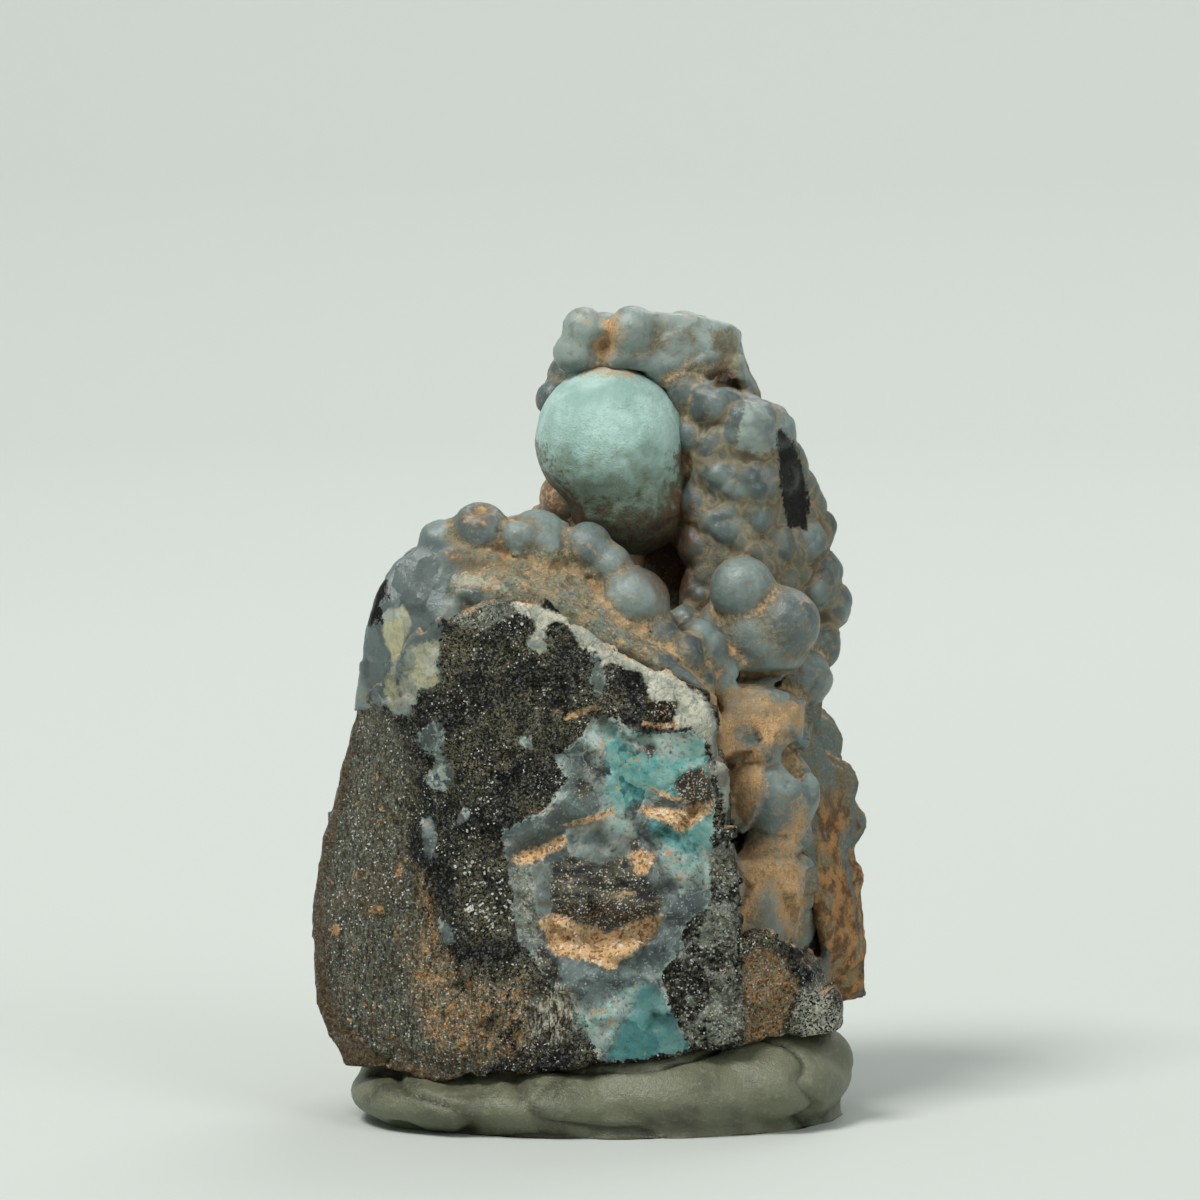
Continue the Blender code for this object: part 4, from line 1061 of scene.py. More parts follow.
def vein_colour(s, colour, vein_distance, chalcedony, patch):
    """Blue-grey chalcedony: smoky blocks, deep lower part, dark granular lenses, pale banded rim."""
    stone = s.blend(s.step(s.field("high"), 2.0, -0.5) * 0.5, chalcedony_colour(s), CHALCEDONY_DARK)
    deep = s.blend(s.step(s.cloud, 0.40, 0.62), CHALCEDONY_DEEP, CHALCEDONY_BLUE)
    deep = s.blend(s.step(s.small, 0.9, 0.97) * 0.6, deep, CHALCEDONY_PALE)
    stone = s.layers(stone, [
        (s.mask("deep", s.wobble, -0.3, 0.3) * 0.85, deep),
        (patch * (s.step(s.cloud, 0.52, 0.58) * 0.7), CHALCEDONY_PALE),
    ])
    dark_glass = s.blend(s.block_tone * 0.55, CHALCEDONY_DARK, CHALCEDONY_BLUE)
    stone = s.blend(s.mask("shoulder", s.wobble) * 0.75, stone, dark_glass)
    colour = s.blend(chalcedony, colour, stone)
    cream = s.blend(s.step(s.block_tone, 0.3, 0.7), CREAM_YELLOW, QUARTZ_GREY)
    veiled = s.level(s.step(s.fine, 0.46, 0.62), 0.85, 0.5)
    colour = s.blend(s.mask("cream", s.wobble, -0.1, 0.1) * veiled, colour, cream)
    smoke = s.blend(s.step(s.cloud, 0.38, 0.60), CHALCEDONY_SMOKE, CHALCEDONY_BLUE)
    smoke = s.blend(s.step(s.fine, 0.44, 0.36) * 0.5, smoke, CHALCEDONY_DARK)
    edge = s.step(s.field("smoky") + s.slight, 0.14, 0.03)
    smoke = s.blend(edge * 0.45, smoke, CHALCEDONY_PALE)
    colour = s.blend(s.mask("smoky", s.slight, -0.04, 0.08) * 0.85, colour, smoke)
    bands = s.noise(1.0, 3.0, 0.6, 0.5, place=s.stretched((0.7, 0.7, 2.6), (0.0, 0.15, 0.0)))
    lens = s.blend(s.step(bands, 0.40, 0.60), BLACK, CHALCEDONY_SMOKE)
    lens = s.layers(lens, [
        (s.step(s.small, 0.6, 0.9) * 0.5, IRON_GREY),
        (s.step(s.small, 0.9, 0.96) * s.step(bands, 0.36, 0.52), DUST_PALE),
        (s.step(s.small_tone, 0.92, 0.97) * 0.8, SILVER),
        (s.step(s.tiny, 0.5, 0.36) * 0.7, BLACK),
    ])
    colour = s.blend(s.mask("granular", s.wobble, -0.1, 0.15), colour, lens)
    rim = s.step(vein_distance, -0.02, 0.03) * s.step(vein_distance, 0.16, 0.07)
    band = s.step(vein_distance, 0.22, 0.26) * s.step(vein_distance, 0.34, 0.29)
    rim = s.most(rim, band * 0.5)
    rim = rim * s.front * s.step(s.cloud, 0.44, 0.58)
    return s.blend(rim * 0.75, colour, CHALCEDONY_PALE)


def turquoise_and_milk_colour(s, colour, vein, back_vein):
    """Turquoise in the vein and its milky edges."""
    turquoise = s.mask("turquoise", s.wobble, -0.35, 0.2) * vein
    turquoise = turquoise * s.step(s.fine, 0.26, 0.42)
    turquoise = s.most(turquoise, back_vein * s.step(s.coarse, 0.52, 0.6))
    depth = s.step(s.field("high"), 1.0, -2.0) * 0.3 + s.step(s.field("high"), -4.5, -7.0) * 0.4
    stone = s.blend(depth, turquoise_colour(s), TURQUOISE_DEEP)
    colour = s.blend(turquoise * 0.97, colour, stone)
    milky = s.mask("milky", s.wobble, -0.3, 0.3) * s.step(s.fine, 0.3, 0.5)
    milk = s.blend(s.step(s.coarse, 0.40, 0.60), TURQUOISE_PALE, CHALCEDONY_PALE)
    milk = s.blend(s.step(s.noise(3.0, 3.0, 0.65), 0.56, 0.64) * 0.8, milk, DUST_ORANGE)
    return s.blend(milky * 0.8, colour, milk)


def island_colour(s, colour):
    """Black islands in the vein and the black right band with its patches of grey glass."""
    island = s.layers(s.blend(s.step(s.tiny, 0.45, 0.7), BLACK, ROCK_BROWN), [
        (s.step(s.fine, 0.58, 0.64) * 0.6, DUST_ORANGE),
        (s.step(s.small, 0.84, 0.92) * 0.7, SILVER),
    ])
    colour = s.blend(s.mask("dark", s.slight, -0.1, 0.15), colour, island)
    grizzle = s.layers(s.blend(s.step(s.fine, 0.46, 0.64), BLACK, CHALCEDONY_SMOKE), [
        (s.step(s.coarse, 0.52, 0.6) * 0.7, QUARTZ_GREY),
        (s.step(s.small, 0.9, 0.96) * 0.8, SILVER),
    ])
    colour = s.blend(s.mask("right_black", s.wobble, -0.1, 0.15), colour, grizzle)
    glass = s.blend(s.step(s.cloud, 0.36, 0.60), CHALCEDONY_SMOKE, QUARTZ_GREY)
    return s.blend(s.mask("edge_grey", s.slight, -0.1, 0.1), colour, glass)


def quartz_colour(s, colour, quartz):
    """Translucent quartz: cloudy white and grey, yellowish in places, with dark grains."""
    haze = s.mask("haze", s.wobble, -0.25, 0.05) * s.step(s.fine, 0.34, 0.5)
    pale = s.blend(s.step(s.shards, 0.38, 0.58), CHALCEDONY_SMOKE, QUARTZ_GREY)
    pale = s.layers(pale, [
        (s.step(s.small, 0.8, 0.95) * 0.6, QUARTZ_WHITE),
        (s.step(s.tiny, 0.48, 0.36) * 0.8, BLACK),
    ])
    colour = s.blend(haze * 0.85, colour, pale)
    white = s.blend(s.step(s.shards * 0.7 + s.block_tone * 0.5, 0.34, 0.66), QUARTZ_GREY, QUARTZ_WHITE)
    white = s.layers(white, [
        (s.step(s.cloud, 0.48, 0.62) * 0.65, CHALCEDONY_BLUE),
        (s.step(s.small_tone, 0.8, 0.9) * 0.45, CHALCEDONY_SMOKE),
        (s.step(s.tiny, 0.44, 0.34) * 0.5, CHALCEDONY_SMOKE),
        (s.block_seam * 0.5, CHALCEDONY_DARK),
        (s.step(s.coarse, 0.56, 0.66) * 0.4, CREAM_YELLOW),
        (s.step(s.fine, 0.36, 0.3) * 0.6, FACET_DARK),
    ])
    pale_foot = s.mask("foot_pale", s.wobble, -0.2, 0.2) * s.step(s.small_tone, 0.25, 0.45)
    return s.layers(colour, [
        (pale_foot * 0.9, s.blend(s.step(s.fine, 0.4, 0.6), QUARTZ_GREY, QUARTZ_WHITE)),
        (quartz, white),
    ])


def tuft_colour(s, colour):
    """A fan of coarse pale and rusty fibres at the foot of the vein."""
    fibres = s.noise(1.0, 3.0, 0.65, 0.5, place=s.stretched((7.0, 7.0, 2.2), (0.0, -0.35, 0.0)))
    bright = s.blend(s.step(s.coarse, 0.36, 0.56), DUST_TAN, QUARTZ_WHITE)
    bright = s.blend(s.step(s.fine, 0.54, 0.66) * 0.7, bright, RUST_RED)
    tuft = s.blend(s.step(fibres, 0.42, 0.60), FACET_DARK, bright)
    return s.blend(s.mask("tuft", s.wobble, -0.25, 0.25) * 0.8, colour, tuft)


def rock_material():
    """Dark granular rock with a chalcedony and turquoise vein, quartz, rust and orange dust."""
    s = RockShader()
    colour = film_colour(s, rust_colour(s, rocky_colour(s)))
    flank = s.field("flank")
    vein_distance = s.field("vein") + s.wobble * 0.9
    vein = s.step(vein_distance, -0.05, 0.05)
    patch = s.mask("blue", s.wobble, -0.05, 0.10)
    back_vein = s.step(s.noise(0.3, 4.0, 0.55, 0.8), 0.6, 0.615) * (1.0 - s.front)
    back_vein = back_vein * s.step(flank, 0.5, 0.2)
    chalcedony = s.most(s.mask("shoulder", s.wobble, -0.1, 0.1), patch, vein, back_vein)
    colour = vein_colour(s, colour, vein_distance, chalcedony, patch)
    colour = turquoise_and_milk_colour(s, colour, vein, back_vein)
    colour = island_colour(s, colour)
    quartz = s.mask("quartz", s.wobble * 0.6, -0.08, 0.1)
    colour = tuft_colour(s, quartz_colour(s, colour, quartz))
    pocket = s.mask("dust", s.wobble * 0.8, -0.1, 0.12)
    thread = s.mask("threads", s.slight * 0.5, -0.03, 0.05)
    ledges = s.step(s.up(), 0.35, 0.75) * s.step(s.coarse, 0.44, 0.6)
    dust = s.most(pocket, thread * 0.85, ledges * 0.8)
    colour = s.blend(dust, colour, powder_colour(s, s.grit, s.tiny, 0.75))

    # Surface: glassy grains in the rock, smoother chalcedony, dull dust.
    smooth = s.most(chalcedony, quartz, s.mask("edge_grey", s.slight, -0.1, 0.1))
    dull = s.most(dust, s.step(flank, 0.3, 0.6))
    rough = s.level(dull, s.level(smooth, s.level(s.grain_tone, 0.45, 0.25), 0.30), 0.85)
    shine = s.level(smooth, s.level(s.step(s.grain_tone, 0.70, 0.95), 0.10, 1.0), 0.45)
    height = s.tiny * 0.5 + s.fine
    height = height + s.grit * s.level(s.step(s.field("dust"), -0.1, 0.1), 0.0, 1.2)
    relief = s.bump(height, 0.17, s.level(smooth, 1.0, 0.35))
    relief = s.glitter(relief, s.block, s.level(dull, s.level(smooth, 0.30, 0.55), 0.1))
    sparkle = s.most((1.0 - s.most(smooth, dull)) * 1.1, smooth * 0.18)
    return s.shade(colour, rough, s.glitter(relief, s.grain(11.0), sparkle), shine)


def lump_colour(s, cloud, fine, near, glassy):
    """Bare chalcedony on the rounded tops: cloudy, paler on the cap and ridge, cracked where glassy."""
    tone = cloud * 0.8 + s.field("tone") * 0.45
    colour = s.blend(s.step(tone, 0.33, 0.95), CHALCEDONY_DARK, CHALCEDONY_BLUE)
    colour = s.blend(s.step(fine, 0.52, 0.76) * 0.2, colour, CHALCEDONY_PALE)
    pale = s.field("pale") * s.level(s.field("tone"), 0.55, 1.2)
    pale = s.step(pale + near * 0.5, 0.1, 1.0)
    pale = pale * s.level(glassy, 0.5, 0.05)
    colour = s.blend(pale, colour, CHALCEDONY_PALE)
    smoke = s.step(s.noise(1.6, 4.0, 0.65, 0.5), 0.5, 0.64) * 0.5
    colour = s.blend(smoke, colour, CHALCEDONY_SMOKE)
    crack = abs(s.noise(0.9, 3.0, 0.55, 0.6) - 0.5)
    crack = s.step(crack, 0.012, 0.004) * glassy
    return s.blend(crack * 0.7, colour, FACET_DARK)


def slope_colour(s, coarse, tiny, grit):
    """The grainy slope behind the front edge: tan and grey soil with dark, white and orange grains."""
    soil = s.blend(s.step(coarse, 0.46, 0.68), SLOPE_TAN, FILM_OLIVE)
    soil = s.blend(s.step(s.noise(0.9, 3.0, 0.6, 0.4), 0.5, 0.62) * 0.7, soil, CHALCEDONY_BLUE)
    orange = s.step(s.noise(2.2, 4.0, 0.7), 0.54, 0.61) * 0.75
    return s.layers(soil, [
        (orange, DUST_ORANGE),
        (s.step(s.noise(1.6, 4.0, 0.65), 0.48, 0.38) * 0.8, FILM_BROWN),
        (s.step(grit, 0.7, 0.95) * 0.5, FACET_DARK),
        (s.step(grit, 0.08, 0.03) * 0.35, QUARTZ_WHITE),
        (s.step(tiny, 0.48, 0.34) * 0.7, FILM_BROWN),
    ])


def broken_colour(s, colour, cloud, fine, near):
    """Broken places: the tower's pale chip, the cap's brown end and scars; and painted shade in the dark
    cleft under the ball and the cap's slit.
    """

    def broken(name, raggedness, low, high):
        return s.step(s.field(name) + near * raggedness, low, high)

    chip = s.blend(s.step(cloud, 0.36, 0.60), CHALCEDONY_BLUE, CHALCEDONY_PALE)
    colour = s.blend(broken("chip", 0.8, -0.05, 0.15) * 0.7, colour, chip)
    end = s.blend(s.step(fine, 0.40, 0.62), FILM_BROWN, FILM_OLIVE)
    colour = s.blend(broken("cap_end", 1.0, -0.1, 0.2) * 0.85, colour, end)
    scar = s.blend(s.step(fine, 0.44, 0.64), FLANK_BROWN, DUST_ORANGE)
    scar = s.blend(s.step(cloud, 0.44, 0.56), scar, FILM_BROWN)
    colour = s.layers(colour, [
        (broken("scars", 0.7, -0.25, 0.25) * 0.75, scar),
        (broken("streak", 1.2, -0.2, 0.2) * 0.5, QUARTZ_WHITE),
    ])
    rock = s.blend(s.step(fine, 0.46, 0.60), FACET_DARK, FACET_GREY)
    colour = s.blend(broken("rocky", 4.0, -0.4, 0.2) * 0.9, colour, rock)
    # Painted shade in the cleft under the ball and the cap's slit, dark brown with rust red.
    cleft = s.blend(s.step(fine, 0.50, 0.66), CLEFT_SHADE_BROWN, RUST_RED)
    return s.blend(broken("cleft", 1.5, -0.4, 0.4) * 0.9, colour, cleft)


def crust_material():
    """Blue-grey chalcedony lumps, with an olive film, orange dust and painted shade between them."""
    s = Shader("chalcedony")
    coarse = s.noise(0.8, 4.0, 0.6)
    fine = s.noise(4.5, 4.0, 0.65)
    tiny = s.noise(15.0, 3.0, 0.7)
    cloud = s.noise(0.55, 4.0, 0.6, 0.4)
    grit, _, _ = s.numbers(s.grain(11.0))
    around = coarse - 0.5
    near = fine - 0.5
    glassy = s.field("glassy")
    tower = s.field("tower")
    colour = lump_colour(s, cloud, fine, near, glassy)
    cream = s.step(s.field("cream") + around * 0.9, -0.1, 0.1)
    bent = s.warped(1.4, 0.9)
    block = s.grain(0.75, place=bent)
    block_tone, _, _ = s.numbers(block)
    pale_cream = s.blend(s.step(block_tone, 0.3, 0.7), CREAM_YELLOW, QUARTZ_GREY)
    veiled = cream * s.level(s.step(fine, 0.46, 0.62), 0.85, 0.5)
    colour = s.blend(veiled, colour, pale_cream)

    # An olive-brown film lies wherever the surface isn't a rounded top.
    hollow = s.field("bulge") + around * 0.35 + near * 0.2
    film = s.step(hollow + s.field("film"), -0.1, 0.04)
    film = film * (1.0 - s.step(glassy, 0.2, 0.7))
    olive = s.blend(s.step(fine, 0.36, 0.62), FILM_BROWN, FILM_OLIVE)
    olive = s.layers(olive, [
        (s.step(tiny, 0.52, 0.66) * 0.35, DUST_PALE),
        (tower * 0.7, TOWER_FILM),
    ])
    colour = s.blend(film * 0.85, colour, olive)
    slope = s.step(s.field("slope") + around, -0.2, 0.3)
    colour = s.blend(slope * 0.9, colour, slope_colour(s, coarse, tiny, grit))

    # Orange dust in the creases and on the coated blocks, and a little on what faces up.
    crease = s.step(s.field("crease") + near * 0.1, 0.008, 0.04)
    coat = s.step(s.field("coat") + (around + near) * 1.6, -0.35, 0.35)
    bare = s.step(s.noise(0.42, 4.0, 0.65, 0.4), 0.55, 0.63) * 0.4
    coat = coat * (1.0 - bare)
    lying = s.step(s.up(), 0.55, 1.0) * s.step(coarse, 0.5, 0.66)
    stain = s.step(s.noise(1.1, 3.0, 0.65), 0.6, 0.7) * 0.4
    dust = s.most(crease * 0.75, coat, lying * 0.25, stain)
    dust = dust * s.level(glassy, 1.0, 0.1) * s.level(tower, 1.0, 0.65)
    muted = s.most(s.step(coarse, 0.48, 0.66), tower)
    muted = muted * (1.0 - coat)
    powder = s.blend(muted, powder_colour(s, grit, tiny, 0.1), DUST_TAN)
    powder = s.blend(coat * s.step(fine, 0.44, 0.7), powder, COAT_BROWN)
    colour = s.blend(dust, colour, powder)
    # Painted shade: dark brown, with rust-red spots, in the deepest creases, most on the tower.
    groove = s.step(s.field("crease"), 0.04, 0.075) * s.level(tower, 0.35, 0.75)
    spotted = s.step(s.noise(1.3, 3.0, 0.6), 0.56, 0.66)
    colour = s.blend(groove, colour, s.blend(spotted, CREASE_SHADE_BROWN, RUST_RED))
    glass = glassy * (1.0 - cream)
    dark_glass = s.blend(block_tone * 0.55, CHALCEDONY_DARK, CHALCEDONY_BLUE)
    colour = s.blend(glass * 0.8, colour, dark_glass)
    colour = broken_colour(s, colour, cloud, fine, near)
    shine = s.step(s.field("shine") + near * 0.8, -0.2, -0.05)
    colour = s.blend(shine, colour, s.blend(s.step(tiny, 0.68, 0.72), BLACK, CHALCEDONY_PALE))

    cover = s.most(dust, slope, film * 0.8)
    rough = s.level(cover, s.level(shine, 0.32, 0.16), 0.82)
    height = fine + tiny * 0.6
    normal = s.bump(height, 0.12, s.level(cover, 0.30, s.level(tower, 1.0, 0.5)))
    normal = s.glitter(normal, block, glassy * 0.5)
    sparkle = slope * 0.35 + 0.06
    return s.shade(colour, rough, s.glitter(normal, s.grain(8.5), sparkle), s.level(shine, 0.6, 0.25))


def ball_material():
    """Pale turquoise with a soft mottled skin, greener and then olive and brown round its foot, with
    painted shade darkening its underside.
    """
    s = Shader("shattuckite")
    coarse = s.noise(0.40, 4.0, 0.60, 0.3)
    middle = s.noise(1.0, 3.0, 0.6, 0.4)
    fine = s.noise(2.6, 4.0, 0.7)
    tiny = s.noise(13.0, 3.0, 0.7)
    near = fine - 0.5
    colour = s.blend(s.step(coarse, 0.34, 0.60), BALL_TURQUOISE, BALL_PALE)
    colour = s.blend(s.step(fine, 0.5, 0.36) * 0.3, colour, BALL_TURQUOISE)
    # Greener, then olive, towards the bottom: partly the ball's own colour, partly painted shade on its
    # underside.
    low = s.field("low") + (middle - 0.5) * 5.0 + near * 2.5
    colour = s.layers(colour, [
        (s.step(low, -1.8, 0.8) * 0.85, BALL_GREEN),
        (s.step(low, 0.4, 2.0) * 0.95, BALL_OLIVE),
    ])
    # Olive and brown, stronger towards the bottom and the sides of the ball.
    brown_low_and_sides = s.field("brown_low_and_sides") + near * 5.0
    stained = s.blend(s.step(middle, 0.44, 0.56), BALL_OLIVE, BALL_BROWN)
    colour = s.blend(s.step(brown_low_and_sides, -0.1, 0.9) * 0.85, colour, stained)
    side = s.field("side") + near * 3.0
    spots = s.blend(s.step(s.noise(1.7, 3.0, 0.6), 0.46, 0.56), BALL_OLIVE, RUST_RED)
    colour = s.layers(colour, [
        (s.step(side, -0.1, 0.5) * 0.7, spots),
        # Painted shade: near black on the lowest part of the ball.
        (s.step(low, 1.8, 3.4) * 0.9, BALL_SHADE),
    ])
    top = s.field("rim") + near * 4.0
    colour = s.blend(s.step(top, 0.0, 0.7) * 0.7, colour, DUST_ORANGE)
    height = fine + tiny * 0.6
    return s.shade(colour, 0.5, s.glitter(s.bump(height, 0.10), s.grain(11.0), 0.20), 0.45)


def putty_material():
    """Grey-green putty, marbled, with painted shade darkening its folds."""
    s = Shader("putty")
    marble = s.noise(0.30, 3.0, 0.55, 1.0)
    fine = s.noise(3.0, 3.0, 0.6)
    tiny = s.noise(12.0, 2.0, 0.6)
    colour = s.blend(s.step(marble, 0.26, 0.60), PUTTY_DARK, PUTTY_GREY)
    colour = s.layers(colour, [
        (s.step(fine, 0.52, 0.75) * 0.12, QUARTZ_WHITE),
        # Painted shade in the folds.
        (s.step(s.field("crease"), 0.01, 0.09) * 0.85, PUTTY_DARK),
    ])
    height = fine + tiny * 0.35
    return s.shade(colour, s.level(fine, 0.32, 0.58), s.bump(height, 0.12, 0.6), 0.5)


# Pieces


# Zones of the rock and of the crust: name, outlines, and how the zone dies out.
ROCK_ZONES = [
    ("facet", FACET, LEFT_FADE), ("bevel", BEVEL, LEFT_FADE), ("vein", VEIN, FRONT),
    ("turquoise", TURQUOISE, FRONT), ("milky", MILKY, FRONT), ("smoky", SMOKY, FRONT),
    ("granular", GRANULAR, FRONT), ("quartz", QUARTZ, FRONT), ("haze", HAZE, FRONT),
    ("edge_grey", EDGE_GREY, FRONT_EDGE), ("shoulder", SHOULDER_ZONE, SHOULDER_FADE),
    ("cream", CREAM, SHOULDER_FADE), ("blue", BLUE, FRONT), ("dark", DARK, FRONT),
    ("right_black", RIGHT_BLACK, FRONT), ("dust", DUST, FRONT), ("threads", THREADS, FRONT),
    ("tuft", TUFT, FRONT), ("rust", RUST, FRONT), ("foot", FOOT, FOOT_FADE), ("deep", DEEP, FRONT),
    ("speckled", SPECKLED, FRONT), ("foot_pale", FOOT_PALE, FOOT_FADE),
    ("cleft", BALL_CREASE, TOWER_FADE),
]
CRUST_ZONES = [
    ("chip", TOWER_CHIP, CHIP_FADE), ("streak", STREAK, RIDGE_FADE), ("cap_end", CAP_END, CAP_FADE),
    ("coat", COAT, BLOCK_FADE), ("cream", CREAM, SHOULDER_FADE),
]


def face_relief(places, in_vein):
    """The recessed vein, sloping dusty ledges, and a groove along the left facet of the front face."""
    relief = -0.10 * in_vein
    relief += shelf(places, DUST[0], 0.24, 0.40) * (1.0 + 0.8 * noise(places, 0.9, 13, 2))
    relief += shelf(places, DUST[1], 0.45, 0.35)
    relief += shelf(places, DUST[2], 0.55, 0.40)
    relief += 0.05 * smooth_step(zone(places, QUARTZ), -0.1, 0.2)
    relief += 0.10 * smooth_step(zone(places, SMOKY), -0.1, 0.2)
    relief += 0.05 * smooth_step(zone(places, MILKY), -0.2, 0.2)
    relief -= 0.12 * smooth_step(zone(places, RIGHT_BLACK), -0.1, 0.3)
    groove = zone(places, FACET, FACET_FADE)
    return relief - 0.30 * np.exp(-((groove - 0.25) / 0.45) ** 2) * smooth_step(-places[:, 1], 4.6, 6.0)


def build_rock(material):
    rock = fused("rock", ROCK_BLOCKS, ROCK_LUMPS, ROCK_VOXEL, 3)
    carve(rock, ROCK_CHIPS)
    remesh(rock, ROCK_VOXEL)

    places, normals = points_of(rock)
    front = smooth_step(-normals[:, 1], 0.5, 0.9) * smooth_step(-places[:, 1], 4.5, 6.0)
    facet = smooth_step(zone(places, FACET, FACET_FADE), -0.5, 0.6)
    flank = smooth_step(places[:, 0], 8.6, 9.6) * smooth_step(places[:, 1], -1.5, -0.5)
    flank *= smooth_step(places[:, 1], 7.5, 6.0) * smooth_step(places[:, 2], 3.6, 4.6)
    wall = smooth_step(places[:, 2], 15.5, 17.5) * smooth_step(places[:, 1], -2.5, -1.0)
    flank = np.maximum(flank, wall)
    sawn_side = smooth_step(-places[:, 0], 8.6, 10.0) * smooth_step(-places[:, 1], -1.0, 1.0)
    calm = np.maximum.reduce([facet * 0.8, front * 0.35, flank * 0.8, sawn_side * 0.9])
    height = 0.24 * noise(places, 3.2, 1, 3)
    bent = places + 0.3 * noise(places, 1.0, 5)[:, None]
    in_vein = smooth_step(zone(places, VEIN), -0.15, 0.2)
    height += (1.0 - calm + 0.6 * in_vein) * 0.55 * facets(bent, 1.7, 11)
    height += (1.0 - 0.6 * calm) * 0.30 * facets(places, 0.8, 21)
    height += 0.035 * noise(places, 0.55, 3, 2)
    height = np.clip(height, -0.45, 0.40)
    relief = face_relief(places, in_vein) * smooth_step(-normals[:, 1], 0.3, 0.8)
    places = places + normals * (height + relief)[:, None]
    floor = SAWN_LOW[1] + SAWN_RISE * (places[:, 0] - SAWN_LOW[0])
    places[:, 2] = np.maximum(places[:, 2], floor + 0.03 * noise(places, 0.8, 9))
    place_points(rock, places)

    places, _ = points_of(rock)
    keep_fields(rock, zone_fields(places, ROCK_ZONES))
    keep_fields(rock, {
        "front": smooth_step(-places[:, 1], 0.0, 3.0),
        "flank": flank,
        "high": places[:, 2] - 14.0,
    })
    finish_piece(rock, "matrix", material)


def build_crust(material):
    crust = fused("crust", CRUST_BLOCKS, CRUST_LUMPS, CRUST_VOXEL, 4)
    carve(crust, CRUST_CHIPS)
    remesh(crust, CRUST_VOXEL)
    soften(crust, CRUST_SOFTENING)

    places, normals = points_of(crust)
    bulge = hollowness(crust, 28)
    crease = hollowness(crust, 7)
    slope = zone(places, SLOPE_ZONE, SLOPE_FADE)
    grainy = smooth_step(slope, -0.3, 0.3)
    glassy = smooth_step(zone(places, SHOULDER_ZONE, SHOULDER_FADE), -0.3, 0.5)
    glassy *= smooth_step(-normals[:, 0] - normals[:, 1], 0.4, 0.9)
    rough_part = smooth_step(bulge, -0.10, 0.0) * (1.0 - glassy)
    height = 0.09 * noise(places, 1.5, 2, 3) + 0.02 * noise(places, 0.45, 4, 2)
    chunk = smooth_step(places[:, 0], 5.8, 6.6) * smooth_step(places[:, 2], 20.2, 19.2)
    height += 0.50 * chunk * facets(places, 2.4, 71)
    x, y, z = places.T
    tower = smooth_step(x, 3.8, 5.0) * smooth_step(z, 20.5, 22.5) * smooth_step(z, 33.8, 32.6)
    broken = (0.25 + 0.35 * glassy) * rough_part.clip(0.25, 1.0) * (1.0 - 0.8 * tower)
    height += broken * facets(places, 1.3, 61)
    behind = smooth_step(normals[:, 1], 0.4, 0.9) * smooth_step(y, 2.5, 4.0)
    bent = places + 0.5 * noise(places, 2.0, 33)[:, None]
    height += 0.75 * behind * facets(bent, 3.4, 32) + 0.35 * behind * noise(places, 2.2, 34, 3)

    # Grape-like lumps all over the tower, smaller than the modelled ones, with tan dust lines and painted
    # crease shade between them.
    big = out_of(places, BIG_LUMPS[:3]).min(axis=0)
    black = smooth_step(zone(places, BLACK_SHINE, TOWER_FADE), -0.3, 0.2)
    tower *= smooth_step(big, 0.0, 0.5) * (1.0 - black)
    best, second, _, grape_draw = cells(places + 0.25 * noise(places, 1.5, 82)[:, None], GRAPE_SIZE, 81)
    height += 0.24 * tower * np.sqrt(np.clip(1.0 - (best / (0.72 * GRAPE_SIZE)) ** 2, 0.0, 1.0))
    crease += 0.05 * tower * smooth_step(second - best, 0.22, 0.04)
    reach = out_of(places, CRUST_LUMPS)
    slit = zone(places, SLIT, CAP_FADE)
    height -= 0.35 * smooth_step(slit, -0.02, 0.16)
    lump_tone = np.random.default_rng(TONE_SEED).random(len(CRUST_LUMPS))[reach.argmin(axis=0)]
    tone = lump_tone + (grape_draw[:, 0] - lump_tone) * tower
    height += (grainy * 0.16 + rough_part * 0.05) * noise(places, 0.42, 6, 2)
    places = places + normals * height[:, None]
    place_points(crust, places)

    cap = smooth_step(z, 33.6, 34.6)
    ridge = 0.35 * smooth_step(z, 17.5, 20.0) * (1.0 - tower)
    seat = 0.35 - reach[-len(SEAT_LUMPS):].min(axis=0)
    lowest = 17.5 - z + 3.0 * noise(places, 4.0, 31, 3)
    far_shine = zone(places, BLACK_SHINE[:1], TOWER_FADE)
    keep_fields(crust, zone_fields(places, CRUST_ZONES))
    keep_fields(crust, {
        "tower": tower,
        "tone": spread(tone, edge_ends(crust), 4),
        "shine": np.maximum(far_shine, zone(places, BLACK_SHINE[1:], MARK_FADE)),
        "scars": np.maximum(zone(places, SCARS, RIDGE_FADE), seat),
        # Where painted shade goes: the cleft under the ball and the cap's slit.
        "cleft": np.maximum(zone(places, BALL_CREASE, TOWER_FADE), 4.0 * slit),
        "rocky": np.minimum(lowest, places[:, 1] - 3.0),
        "crease": crease,
        "bulge": bulge,
        "film": -0.05 * cap,
        "pale": np.maximum(cap, ridge),
        "slope": slope,
        "glassy": glassy,
    })
    finish_piece(crust, "chalcedony_crust", material)


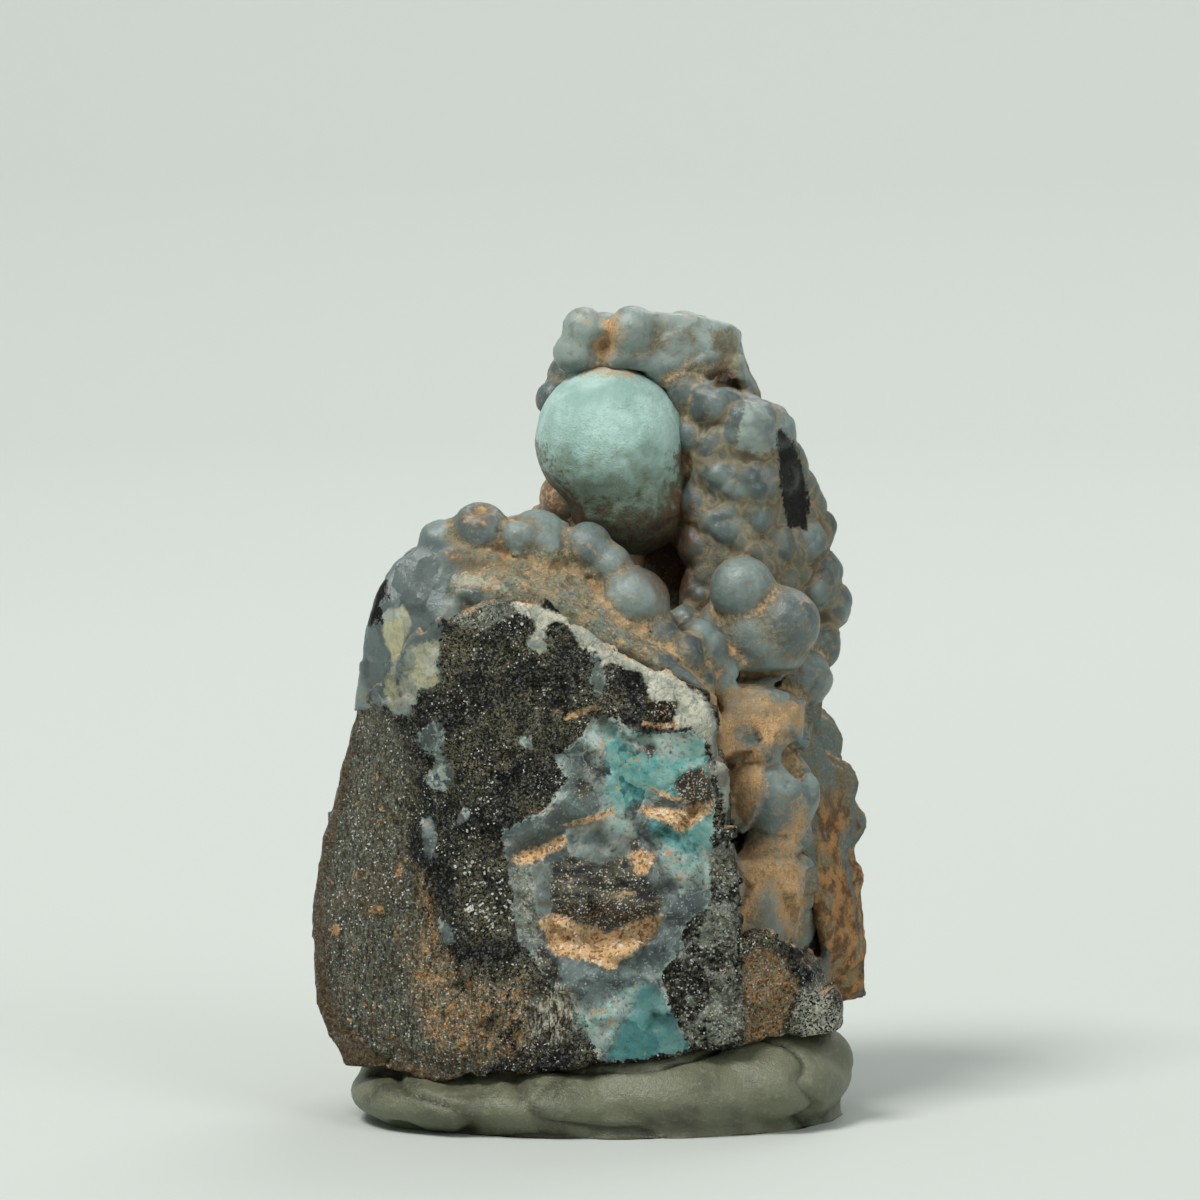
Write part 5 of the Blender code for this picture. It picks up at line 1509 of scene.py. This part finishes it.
def build_ball(material):
    ball = fused("ball", [], BALL_PARTS, BALL_VOXEL, 5)
    soften(ball, 20)
    places, normals = points_of(ball)
    smoothed = spread(places, edge_ends(ball), 6)
    normals = spread(normals, edge_ends(ball), 4)
    height = 0.09 * noise(smoothed, 1.6, 3, 3) + 0.035 * noise(smoothed, 0.5, 8, 2)
    places = smoothed + normals * height[:, None]
    place_points(ball, places)
    x, _, z = places.T
    middle_x, _, middle_z = BALL_CENTRE
    left = smooth_step(middle_x - x, 0.6, 2.6)
    right = smooth_step(x - middle_x, 2.2, 3.4)
    above = (z - middle_z) / BALL_RADIUS
    outward = np.abs(x - middle_x) / BALL_RADIUS
    keep_fields(ball, {
        "low": middle_z - 1.5 - z,
        "brown_low_and_sides": (middle_z - 3.3 + 2.4 * left + 1.6 * right - z) * 0.9,
        "rim": (above - 0.84) * 6.0,
        "side": 3.0 * (outward - 0.80) - 2.0 * smooth_step(above, -0.2, 0.4),
    })
    finish_piece(ball, "shattuckite_ball", material)


def build_putty(material):
    bm = bmesh.new()
    for centre, radii in PUTTY_LOBES + [FOLD_LOBE]:
        add_ball(bm, centre, radii, subdivisions=5)
    core = []
    for step in range(PUTTY_CORE_CORNERS):
        angle = math.tau * step / PUTTY_CORE_CORNERS
        x = PUTTY_CORE_MIDDLE[0] + PUTTY_CORE_SIZE[0] * math.cos(angle)
        y = PUTTY_CORE_MIDDLE[1] + PUTTY_CORE_SIZE[1] * math.sin(angle)
        core += [(x, y, z) for z in PUTTY_CORE_HEIGHTS]
    add_hull(bm, core)
    putty = mesh_object("putty", bm)
    remesh(putty, PUTTY_VOXEL)
    places, normals = points_of(putty)
    normals = spread(normals, edge_ends(putty), 6)
    bent = places + 0.9 * np.stack([noise(places, 4.0, 31 + n) for n in range(3)], axis=1)
    fold = 1.0 - np.abs(noise(bent * (0.6, 0.6, 1.3), 3.0, 41))
    height = 0.22 * noise(places, 3.4, 5, 2) + 0.30 * (fold - 0.7)
    line = np.abs(noise(bent * (0.5, 0.5, 1.5), 2.6, 44))
    height -= 0.30 * np.exp(-(line / 0.07) ** 2)
    height += 0.015 * noise(places, 0.7, 46, 2)
    places = places + normals * height[:, None]
    places[:, 2] = np.maximum(places[:, 2], 0.0)
    place_points(putty, places)
    keep_fields(putty, {"crease": hollowness(putty, 5)})
    finish_piece(putty, "putty_pad", material)


# Floor, light and camera


# The dish: radius and height of its profile, in metres.
DISH_PROFILE = [
    (0.0, 0.0), (0.30, 0.0), (0.42, 0.004), (0.54, 0.03),
    (0.64, 0.09), (0.70, 0.19), (0.73, 0.34), (0.74, 0.55),
]
DISH_STEPS = 96

# Lights: name, place and aim in metres, power in watts, size in metres and colour.
STONE = (0.0, 0.0, 0.018)
LIGHTS = [
    ("key", (-0.20, -0.20, 0.46), STONE, 2.45, 0.17, (1.0, 0.99, 0.96)),
    ("fill", (0.34, -0.36, 0.30), STONE, 0.80, 0.30, (0.96, 0.98, 1.0)),
    ("back", (0.15, 0.38, 0.45), STONE, 0.9, 0.30, (1.0, 1.0, 1.0)),
    ("wall", (0.0, 0.20, 0.55), (0.0, 0.75, 0.32), 1.75, 0.40, (1.0, 1.0, 1.0)),
]
SKY_COLOUR = (0.90, 0.93, 0.91, 1.0)
SKY_STRENGTH = 0.49


def build_floor():
    """A pale studio dish: flat under the stone, rising all round far behind it."""
    bm = bmesh.new()
    verts = [bm.verts.new((radius, 0.0, height)) for radius, height in DISH_PROFILE]
    edges = [bm.edges.new(pair) for pair in zip(verts, verts[1:])]
    turn = {"cent": (0, 0, 0), "axis": (0, 0, 1), "angle": math.tau, "steps": DISH_STEPS}
    bmesh.ops.spin(bm, geom=verts + edges, **turn)
    bmesh.ops.remove_doubles(bm, verts=bm.verts, dist=1e-6)
    floor = mesh_object("floor", bm)
    floor.data.shade_smooth()
    s = Shader("pale_floor")
    s.shade(FLOOR_PALE, 0.9, s.bump(s.noise(2.0), 0.02, 0.1), 0.1)
    floor.data.materials.append(s.material)


def add_light(name, place, target, power, size, colour):
    data = bpy.data.lights.new(name, "AREA")
    data.energy = power
    data.size = size
    data.color = colour
    light = bpy.data.objects.new(name, data)
    bpy.context.scene.collection.objects.link(light)
    light.location = place
    aim = Vector(target) - Vector(place)
    light.rotation_euler = aim.to_track_quat("-Z", "Y").to_euler()


def light_studio():
    for row in LIGHTS:
        add_light(*row)
    world = bpy.data.worlds.new("studio")
    world.use_nodes = True
    sky = world.node_tree.nodes["Background"]
    sky.inputs["Color"].default_value = SKY_COLOUR
    sky.inputs["Strength"].default_value = SKY_STRENGTH
    bpy.context.scene.world = world
    bpy.context.scene.view_settings.view_transform = "Standard"


def add_camera():
    data = bpy.data.cameras.new("camera")
    data.lens = LENS
    data.sensor_width = SENSOR_WIDTH
    data.clip_start = 0.01
    camera = bpy.data.objects.new("camera", data)
    bpy.context.scene.collection.objects.link(camera)
    target = Vector((TARGET - ORIGIN) * MM)
    back = Vector((0.0, -math.cos(CAMERA_TILT), math.sin(CAMERA_TILT)))
    camera.location = target + back * CAMERA_DISTANCE * MM
    camera.rotation_euler = (-back).to_track_quat("-Z", "Y").to_euler()
    bpy.context.scene.camera = camera


add_camera()
light_studio()
build_floor()
build_rock(rock_material())
build_crust(crust_material())
build_ball(ball_material())
build_putty(putty_material())
